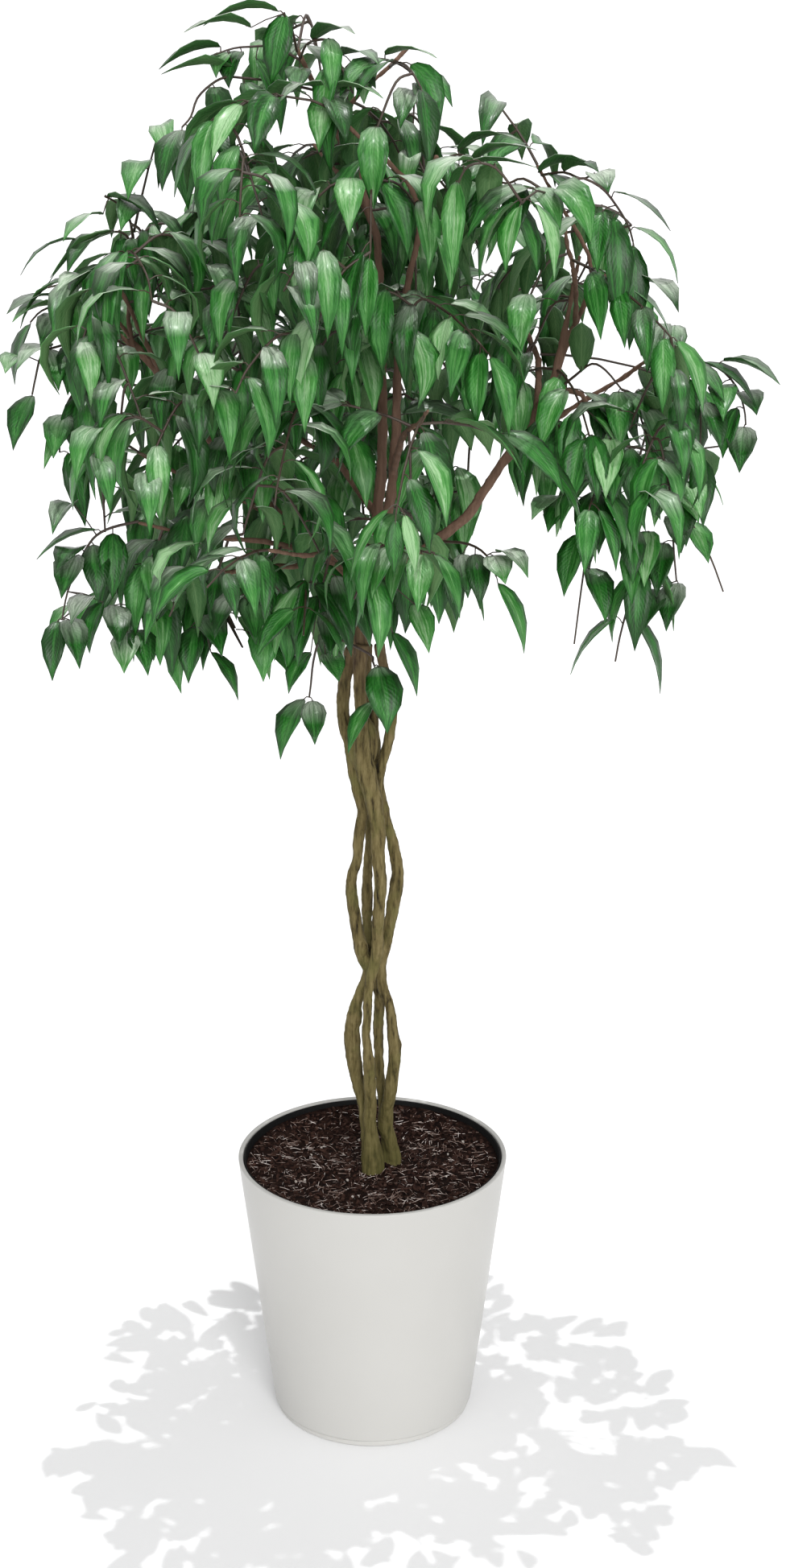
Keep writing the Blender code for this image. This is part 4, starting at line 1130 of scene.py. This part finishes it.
guidedSprays = {
    "lowShootLeft": (-20, ((424, 789), (408, 787), (396, 797), (389, 822), (386, 850), (384, 866)),
        ((378, 868, 348, 944, -25), (388, 870, 391, 926, 15), (404, 786, 416, 842, 30))),
    "lowShootRight": (-52, ((455, 800), (458, 812), (463, 822), (465, 828)),
        ((469, 827, 481, 912, 8), (463, 872, 432, 936, -35, 0.027))),
    "topTwig": (-50, ((367, 64), (363, 38), (352, 17)),
        ((346, 14, 252, 32), (354, 17, 337, 108), (312, 34, 228, 40))),
    "topLeftTwig": (-30, ((372, 74), (340, 58), (312, 58), (290, 60), (266, 68)),
        ((274, 58, 197, 86), (290, 84, 200, 92), (318, 72, 349, 168, 10), (300, 64, 284, 110, -70),
         (286, 66, 268, 97, -70))),
    "topLeftArch": (-70, ((392, 112), (345, 102), (303, 97), (280, 96), (262, 105), (245, 122), (237, 145),
        (226, 158)),
        ((266, 108, 276, 188), (303, 102, 328, 186, 15), (226, 161, 201, 238, -20), (234, 160, 234, 262),
         (256, 158, 286, 216, 30))),
    "topRightTwig": (-40, ((372, 72), (380, 56), (390, 50)),
        ((388, 50, 441, 42), (382, 56, 428, 122, 15), (372, 84, 366, 118, -30))),
    "topRightArch": (-40, ((425, 122), (430, 84), (455, 74), (478, 74), (500, 82), (517, 97), (523, 104)),
        ((425, 68, 472, 82), (478, 68, 543, 72), (515, 88, 562, 133, 50), (520, 104, 538, 162, 5),
         (512, 112, 497, 160, -30), (432, 90, 467, 110, 40), (450, 76, 452, 130, 20))),
    "topSilver": (-80, ((415, 150), (410, 125), (405, 114)),
        ((402, 112, 345, 130), (410, 112, 476, 122), (404, 118, 396, 190, -10), (408, 120, 430, 180, 20))),
    "leftTop": (-60, ((166, 296), (160, 270), (145, 252), (130, 244)),
        ((132, 244, 200, 290, 20), (176, 262, 236, 325, 25), (128, 266, 78, 300))),
    "leftSickles": (-40, ((166, 306), (150, 288), (120, 293), (98, 300)),
        ((97, 297, 25, 342), (140, 286, 62, 345), (147, 287, 56, 358), (125, 292, 83, 340),
         (150, 294, 165, 385), (163, 296, 175, 380, 15))),
    "leftMiddle": (-70, ((160, 345), (140, 332), (118, 342), (98, 370)),
        ((140, 330, 78, 385), (115, 345, 70, 363), (98, 372, 100, 430), (120, 345, 135, 420, 10))),
    "leftReach": (-30, ((145, 400), (110, 382), (78, 378), (52, 386), (38, 400)),
        ((64, 367, 8, 390), (72, 380, 15, 400), (38, 402, 18, 478, -75), (74, 392, 50, 430, -20),
         (92, 384, 96, 450, 10))),
    "leftReachLow": (-60, ((150, 425), (100, 425), (70, 431), (52, 440), (44, 470), (40, 490)),
        ((25, 442, 6, 464), (60, 434, 73, 486), (40, 491, 16, 560, -15), (64, 430, 20, 460),
         (90, 428, 84, 492, -10))),
    "leftPair": (-100, ((160, 440), (140, 420), (118, 410)),
        ((104, 411, 106, 530, -10), (133, 412, 128, 536, 10), (150, 430, 160, 500, 25))),
    "leftHang": (-70, ((200, 490), (130, 474), (98, 482), (82, 505), (75, 530), (74, 562)),
        ((84, 562, 106, 655, 5), (100, 490, 98, 575, -5), (118, 480, 122, 560, 10),
         (80, 515, 66, 570, -40))),
    "lowLeftArch": (-130, ((172, 648), (140, 655), (120, 665), (108, 680), (98, 700), (84, 735), (77, 770)),
        ((92, 627, 65, 664), (120, 658, 45, 695), (100, 682, 70, 712), (95, 690, 76, 744, -30),
         (72, 771, 65, 847, -10), (86, 770, 99, 832, 25), (116, 676, 122, 750), (140, 662, 140, 745, 10),
         (118, 742, 88, 776), (128, 748, 111, 812, -60))),
    "lowLeftHang": (-120, ((205, 652), (190, 690), (170, 725), (158, 752)),
        ((142, 752, 148, 808, -10), (158, 785, 154, 837), (168, 783, 184, 840, 20), (178, 700, 168, 790),
         (190, 690, 196, 770, 10))),
    "lowLeftBroad": (-100, ((240, 660), (228, 695), (212, 728)),
        ((208, 734, 214, 842), (190, 745, 199, 828, -10), (232, 640, 222, 725), (250, 645, 252, 728, 15),
         (214, 660, 206, 735, -15))),
    "lowLeftSpare": (-90, ((285, 665), (272, 705), (256, 738), (250, 764)),
        ((243, 778, 234, 850), (252, 764, 276, 816, 35), (262, 810, 296, 870, 70),
         (230, 790, 225, 862, -75), (270, 705, 262, 775, -10))),
    "lowMiddleLeft": (-120, ((350, 680), (330, 705), (312, 728), (302, 740)),
        ((300, 740, 266, 794, -30), (307, 742, 318, 802), (328, 770, 327, 848), (348, 735, 357, 834, 20),
         (318, 715, 330, 790, 5), (338, 700, 345, 790, 5))),
    "lowMiddle": (-100, ((410, 690), (402, 722), (396, 742)),
        ((394, 740, 370, 828, -20), (407, 760, 410, 818), (404, 812, 421, 847, 60),
         (386, 810, 358, 862, -70), (378, 720, 366, 800, -15), (416, 715, 440, 790, 10))),
    "lowFront": (-100, ((480, 690), (474, 702), (468, 714)),
        ((430, 716, 460, 804, -10), (472, 716, 470, 812), (500, 698, 503, 788, 10),
         (514, 750, 533, 812, 30), (487, 785, 518, 865, 65), (452, 700, 440, 780, -10))),
    "lowRight": (-100, ((560, 684), (582, 676), (604, 690), (616, 716)),
        ((532, 684, 545, 776, 15), (552, 690, 567, 774, 25), (590, 688, 596, 758), (575, 688, 581, 744),
         (618, 724, 651, 812, 20), (612, 690, 628, 726, 60), (618, 686, 656, 718))),
    "rightTop": (-110, ((545, 205), (556, 196), (570, 192), (585, 196)),
        ((568, 188, 646, 174), (582, 204, 666, 186), (570, 208, 667, 208), (560, 200, 575, 290))),
    "rightTopArch": (-120, ((672, 215), (650, 222), (630, 228), (612, 222)),
        ((611, 216, 586, 300, -10), (626, 244, 668, 342, 10), (665, 233, 696, 286, 40),
         (640, 228, 640, 300), (600, 225, 566, 280, -40))),
    "rightTopReach": (-60, ((672, 218), (700, 214), (722, 222), (738, 216)),
        ((668, 214, 743, 208), (680, 216, 730, 270, 30), (700, 213, 744, 214), (738, 216, 756, 240, 50))),
    "rightArch": (-80, ((690, 248), (715, 222), (745, 232), (765, 255), (780, 280), (786, 300)),
        ((763, 238, 833, 287), (788, 282, 842, 352, 65), (796, 350, 843, 388), (762, 268, 766, 412),
         (786, 304, 781, 436, 5), (726, 272, 676, 316, -20), (748, 262, 742, 340, -15))),
    "rightMiddle": (-60, ((690, 490), (715, 466), (735, 452), (752, 460), (772, 484)),
        ((750, 488, 744, 560, -10), (768, 486, 770, 560, 5), (722, 462, 722, 400),
         (775, 486, 812, 540, 40))),
    "rightFar": (-80, ((815, 440), (835, 444), (852, 448), (864, 480), (870, 520), (869, 566)),
        ((870, 568, 873, 656), (852, 598, 871, 644, 35), (828, 402, 803, 464, -15), (838, 404, 834, 462, 5),
         (858, 448, 900, 500, 30), (874, 500, 896, 562, 25), (856, 470, 850, 560, -5))),
    "rightEnd": (-40, ((822, 440), (852, 448), (890, 456), (914, 480), (924, 508), (926, 528)),
        ((898, 448, 969, 478), (872, 450, 940, 506, 30), (925, 487, 940, 516, 40), (924, 530, 918, 588),
         (915, 506, 897, 570, -70), (895, 478, 898, 524))),
    "rightHang": (-60, ((745, 596), (735, 620), (730, 660), (726, 700), (720, 745), (713, 800)),
        ((756, 612, 743, 690), (720, 663, 700, 742, -25), (732, 706, 752, 774, 20), (692, 616, 660, 646),
         (702, 620, 680, 662, -60), (742, 610, 722, 680, -20))),
    "rightHangLong": (-80, ((778, 640), (788, 665), (794, 708), (782, 745), (770, 790), (764, 822)),
        ((782, 655, 786, 726), (793, 714, 760, 798, -60), (766, 766, 708, 838, -58),
         (786, 766, 820, 862, 54), (806, 660, 800, 730, 10))),
    "rightHangEnd": (-50, ((832, 566), (836, 600), (838, 640), (836, 672), (840, 722)),
        ((838, 640, 846, 688, 20), (824, 674, 815, 742, -5), (816, 732, 800, 782, -30),
         (842, 724, 827, 785, 5), (830, 600, 812, 655, -20), (842, 610, 852, 680, 30))),
    "rightTail": (-30, ((835, 570), (846, 612), (862, 656), (882, 692), (898, 735)),
        ((858, 648, 880, 700, 60), (842, 606, 868, 650, 40))),
    "rightInner": (-120, ((680, 505), (690, 525), (708, 540), (730, 552)),
        ((694, 522, 690, 606, -10), (712, 530, 716, 615), (735, 540, 742, 625, 10), (758, 545, 752, 620),
         (675, 520, 650, 630, -20), (728, 556, 768, 640, 30))),
    "rightInnerEnd": (-130, ((770, 560), (790, 556), (806, 562)),
        ((782, 556, 786, 640, -5), (806, 560, 813, 642, 5), (826, 560, 850, 610, 40),
         (770, 560, 760, 630, -20))),
}
guideStyle = {"seed": 5, "lengths": (0.080, 0.100), "width": 0.0325, "arch": (0.07, 0.15), "stray": 0.008,
              "toneMiddle": 0.24, "turn": 12, "pixelsPerMetre": 1050, "depthCounts": 0.3}


def archedLeaf(root, base, tip, facing, width, arch, rng, toneMiddle=0.40):
    chord = tip - base
    level = math.hypot(chord.x, chord.y) / chord.length
    lift = Vector((0, 0, 0.5 + 3 * level)) + facing * (1 - 1.7 * level)
    lift -= chord.normalized() * lift.dot(chord.normalized())
    lift.normalize()
    rise = lift * arch * chord.length
    return {"root": root, "spine": [base, base + chord * 0.33 + rise, base + chord * 0.74 + rise * 0.8, tip],
            "ups": [lift, lift], "width": width, **leafLooks(rng, toneMiddle)}


wood = {"points": np.zeros((0, 3)), "seen": None}


def addWood(points):
    wood["points"] = np.concatenate((wood["points"], np.array([tuple(point) for point in points])))
    wood["seen"] = onPhoto(wood["points"])


def woodSeenAt(x, y, depth):
    gap = np.hypot(wood["seen"][:, 0] - x, wood["seen"][:, 1] - y) / guideStyle["pixelsPerMetre"]
    deeper = np.abs(wood["points"][:, 1] - depth)
    return Vector(wood["points"][np.argmin(gap + guideStyle["depthCounts"] * deeper)])


def woodNearest(place):
    return Vector(wood["points"][np.argmin(((wood["points"] - np.array(place)) ** 2).sum(axis=1))])


def guidedLeaf(row, path, seenPath, width, rng):
    baseX, baseY, tipX, tipY = row[:4]
    turn = row[4] if len(row) > 4 else 0
    face = math.radians(turn + rng.uniform(-guideStyle["turn"], guideStyle["turn"]))
    facing = Vector((math.sin(face), -math.cos(face), 0))
    root = path[int(np.argmin(np.hypot(seenPath[:, 0] - baseX, seenPath[:, 1] - baseY)))]
    depth = root.y + rng.uniform(-guideStyle["stray"], guideStyle["stray"])
    base = fromPhoto(baseX, baseY, depth)
    seenLength = (fromPhoto(tipX, tipY, depth) - base).length
    # what the view foreshortens of a leaf's length leads away in depth
    length = max(rng.uniform(*guideStyle["lengths"]), seenLength * 1.02)
    tip = fromPhoto(tipX, tipY, depth + facing.y * 0.8 * math.sqrt(length ** 2 - seenLength ** 2))
    width = (row[5] if len(row) > 5 else width) * rng.uniform(0.9, 1.1)
    arch = rng.uniform(*guideStyle["arch"])
    return archedLeaf(root, base, tip, facing, width, arch, rng, guideStyle["toneMiddle"])


def makeGuidedSprays():
    rng = random.Random(guideStyle["seed"])
    made = []
    for name, (depth, seen, rows) in guidedSprays.items():
        start = woodSeenAt(*seen[0], depth / 1000)
        points = [start]
        for number, (x, y) in enumerate(seen[1:], 1):
            points.append(fromPhoto(x, y, start.y + (depth / 1000 - start.y) * number / (len(seen) - 1)))
        path = smoothPath(points, 3)
        seenPath = onPhoto(np.array([tuple(point) for point in path]))
        *replaced, width = lowShoots.get(name, (guideStyle["width"],))
        leaves = [guidedLeaf(row, path, seenPath, width, rng) for row in rows]
        buildSpray(name, path, leaves, *replaced)
        addWood(path)
        made += leaves
    print("guided sprays:", len(guidedSprays), "leaves:", len(made))
    return made


addWood([vertex.co for vertex in boughs.data.vertices])
for path in twigPaths:
    addWood(path)
guidedLeaves = makeGuidedSprays()


# The rest of the crown is filled where the view shows the most room

fillStyle = {
    "seed": 3,
    "sprays": 125,
    "candidates": 26,
    "least": 14,
    "worth": (1.0, 0.34, 0.12, 0.0, 0.0),
    "outside": -3.0,
    "ovalMiddle": (470, 470),
    "ovalReach": (500, 520),
    "leastSwell": 0.08,
    "aside": 30,
    "above": (20, 80),
    "depth": 0.33,
    "span": (0.035, 0.21),
    "leafEvery": 0.0145,
    "lengths": (0.072, 0.100),
    "widths": (0.021, 0.034),
    "droop": (34, 80),
    "arch": (0.17, 0.32),
    "stalk": (0.009, 0.016),
    "apart": 0.010,
    "below": 0.045,
    "rise": (0.16, 0.006),
    "tail": (0.018, -0.026),
    "outward": (0.4, 1.0),
    "onward": (0, 0.9),
    "leastLeaves": 3,
    "pickPower": 1.5,
}


def fillTwig(x, y, rng):
    # the crown is as deep as an oval there
    middleX, middleY = fillStyle["ovalMiddle"]
    reachX, reachY = fillStyle["ovalReach"]
    swell = max(fillStyle["leastSwell"], 1 - ((x - middleX) / reachX) ** 2 - ((y - middleY) / reachY) ** 2)
    end = fromPhoto(x, y, rng.uniform(-1, 1) * fillStyle["depth"] * math.sqrt(swell))
    start = woodNearest(end + Vector((0, 0, fillStyle["below"])))
    span = (end - start).length
    if not fillStyle["span"][0] < span < fillStyle["span"][1]:
        return None
    out = (end - start).normalized()
    steep, lift = fillStyle["rise"]
    middle = start.lerp(end, 0.5) + Vector((0, 0, steep * span + lift))
    along, down = fillStyle["tail"]
    beyond = end + Vector((out.x, out.y, 0)) * along + Vector((0, 0, down))
    return smoothPath([start, middle, end, beyond], 4)


def fillLeaves(path, middles, rng):
    leaves = []
    reached = 0.0
    side = rng.choice((-1, 1))
    for near, far in zip(path, path[1:]):
        reached += (far - near).length
        if reached < fillStyle["leafEvery"]:
            continue
        reached = 0.0
        side = -side
        along = (far - near).normalized()
        across = Vector((along.y, -along.x, 0))
        if across.length < 0.2:
            across = Vector((math.cos(far.x * 90), math.sin(far.x * 90), 0))
        onward = Vector((along.x, along.y, 0)) * rng.uniform(*fillStyle["onward"])
        outward = across.normalized() * side * rng.uniform(*fillStyle["outward"])
        heading = (outward + onward).normalized()
        droop = math.radians(rng.uniform(*fillStyle["droop"]))
        base = far + (heading + Vector((0, 0, 0.35))) * rng.uniform(*fillStyle["stalk"])
        chord = heading * math.cos(droop) - Vector((0, 0, math.sin(droop)))
        tip = base + chord * rng.uniform(*fillStyle["lengths"])
        leaf = archedLeaf(far, base, tip, heading, rng.uniform(*fillStyle["widths"]),
                          rng.uniform(*fillStyle["arch"]), rng)
        middle = np.array(leafMiddle(leaf))
        if np.min(((middles - middle) ** 2).sum(axis=1)) > fillStyle["apart"] ** 2:
            middles = np.concatenate((middles, [middle]))
            leaves.append(leaf)
    return leaves


def worthOf(layers):
    return np.array(fillStyle["worth"])[np.minimum(layers, 4)]


def leafWorth(leaf, layers):
    cells = coveredCells([leaf])
    hit = insideView[cells] & ~hidesWood(leaf, cells)
    return np.where(hit, worthOf(layers[cells]), fillStyle["outside"]).sum()


def bestSpray(layers, middles, rng):
    best = (0.0, None, None)
    chances = np.cumsum((np.where(insideView, worthOf(layers), 0.0) ** fillStyle["pickPower"]).ravel())
    for _ in range(fillStyle["candidates"]):
        spot = int(np.searchsorted(chances, rng.random() * chances[-1]))
        x = (spot // viewCells[1] + 0.5) * viewCell + rng.uniform(-fillStyle["aside"], fillStyle["aside"])
        y = (spot % viewCells[1] + 0.5) * viewCell - rng.uniform(*fillStyle["above"])
        path = fillTwig(x, y, rng)
        if not path:
            continue
        worths = [(leafWorth(leaf, layers), leaf) for leaf in fillLeaves(path, middles, rng)]
        kept = [leaf for worth, leaf in worths if worth > 0]
        value = sum(worth for worth, _ in worths if worth > 0)
        if len(kept) >= fillStyle["leastLeaves"] and value > best[0]:
            best = (value, path, kept)
    return best


def fillCrown(leaves):
    rng = random.Random(fillStyle["seed"])
    layers = np.zeros(viewCells, int)
    for leaf in leaves:
        layers[coveredCells([leaf])] += 1
    middles = np.array([leafMiddle(leaf) for leaf in leaves])
    for number in range(fillStyle["sprays"]):
        value, path, grown = bestSpray(layers, middles, rng)
        if value < fillStyle["least"]:
            continue
        buildSpray(f"crownSpray{number + 1:03d}", path, grown)
        addWood(path)
        layers[coveredCells(grown)] += 1
        middles = np.concatenate((middles, [leafMiddle(leaf) for leaf in grown]))
    bare = int((insideView & (layers == 0)).sum())
    print("cells of the crown's view:", int(insideView.sum()), "still bare:", bare)


fillCrown(cadLeaves + guidedLeaves)
bpy.data.objects.remove(leafMaster, do_unlink=True)


# Floor and light

worldStrength = 0.68
studioLights = {
    "overheadLight": {"place": (0, 0, 4), "strength": 1.74, "spread": 0.45, "tilt": -4.0, "turn": 0.0},
    "frontLight": {"place": (0, -4, 2), "strength": 2.2, "spread": 30.0, "tilt": 62.0, "turn": 11.0},
}


def makeFloor():
    bpy.ops.mesh.primitive_plane_add(size=300)
    floor = bpy.context.object
    floor.name = "paleFloor"
    wear(floor, "floor")


def makeLight():
    scene.world = bpy.data.worlds.new("whiteStudio")
    scene.world.use_nodes = True
    background = scene.world.node_tree.nodes["Background"]
    background.inputs["Color"].default_value = (1, 1, 1, 1)
    background.inputs["Strength"].default_value = worldStrength
    for name, plan in studioLights.items():
        bpy.ops.object.light_add(type="SUN", location=plan["place"])
        sun = bpy.context.object
        sun.name = name
        sun.data.energy = plan["strength"]
        sun.data.angle = math.radians(plan["spread"])
        sun.rotation_euler = (math.radians(plan["tilt"]), 0, math.radians(plan["turn"]))
    scene.view_settings.view_transform = "Standard"


makeFloor()
makeLight()
print("floor and light set")
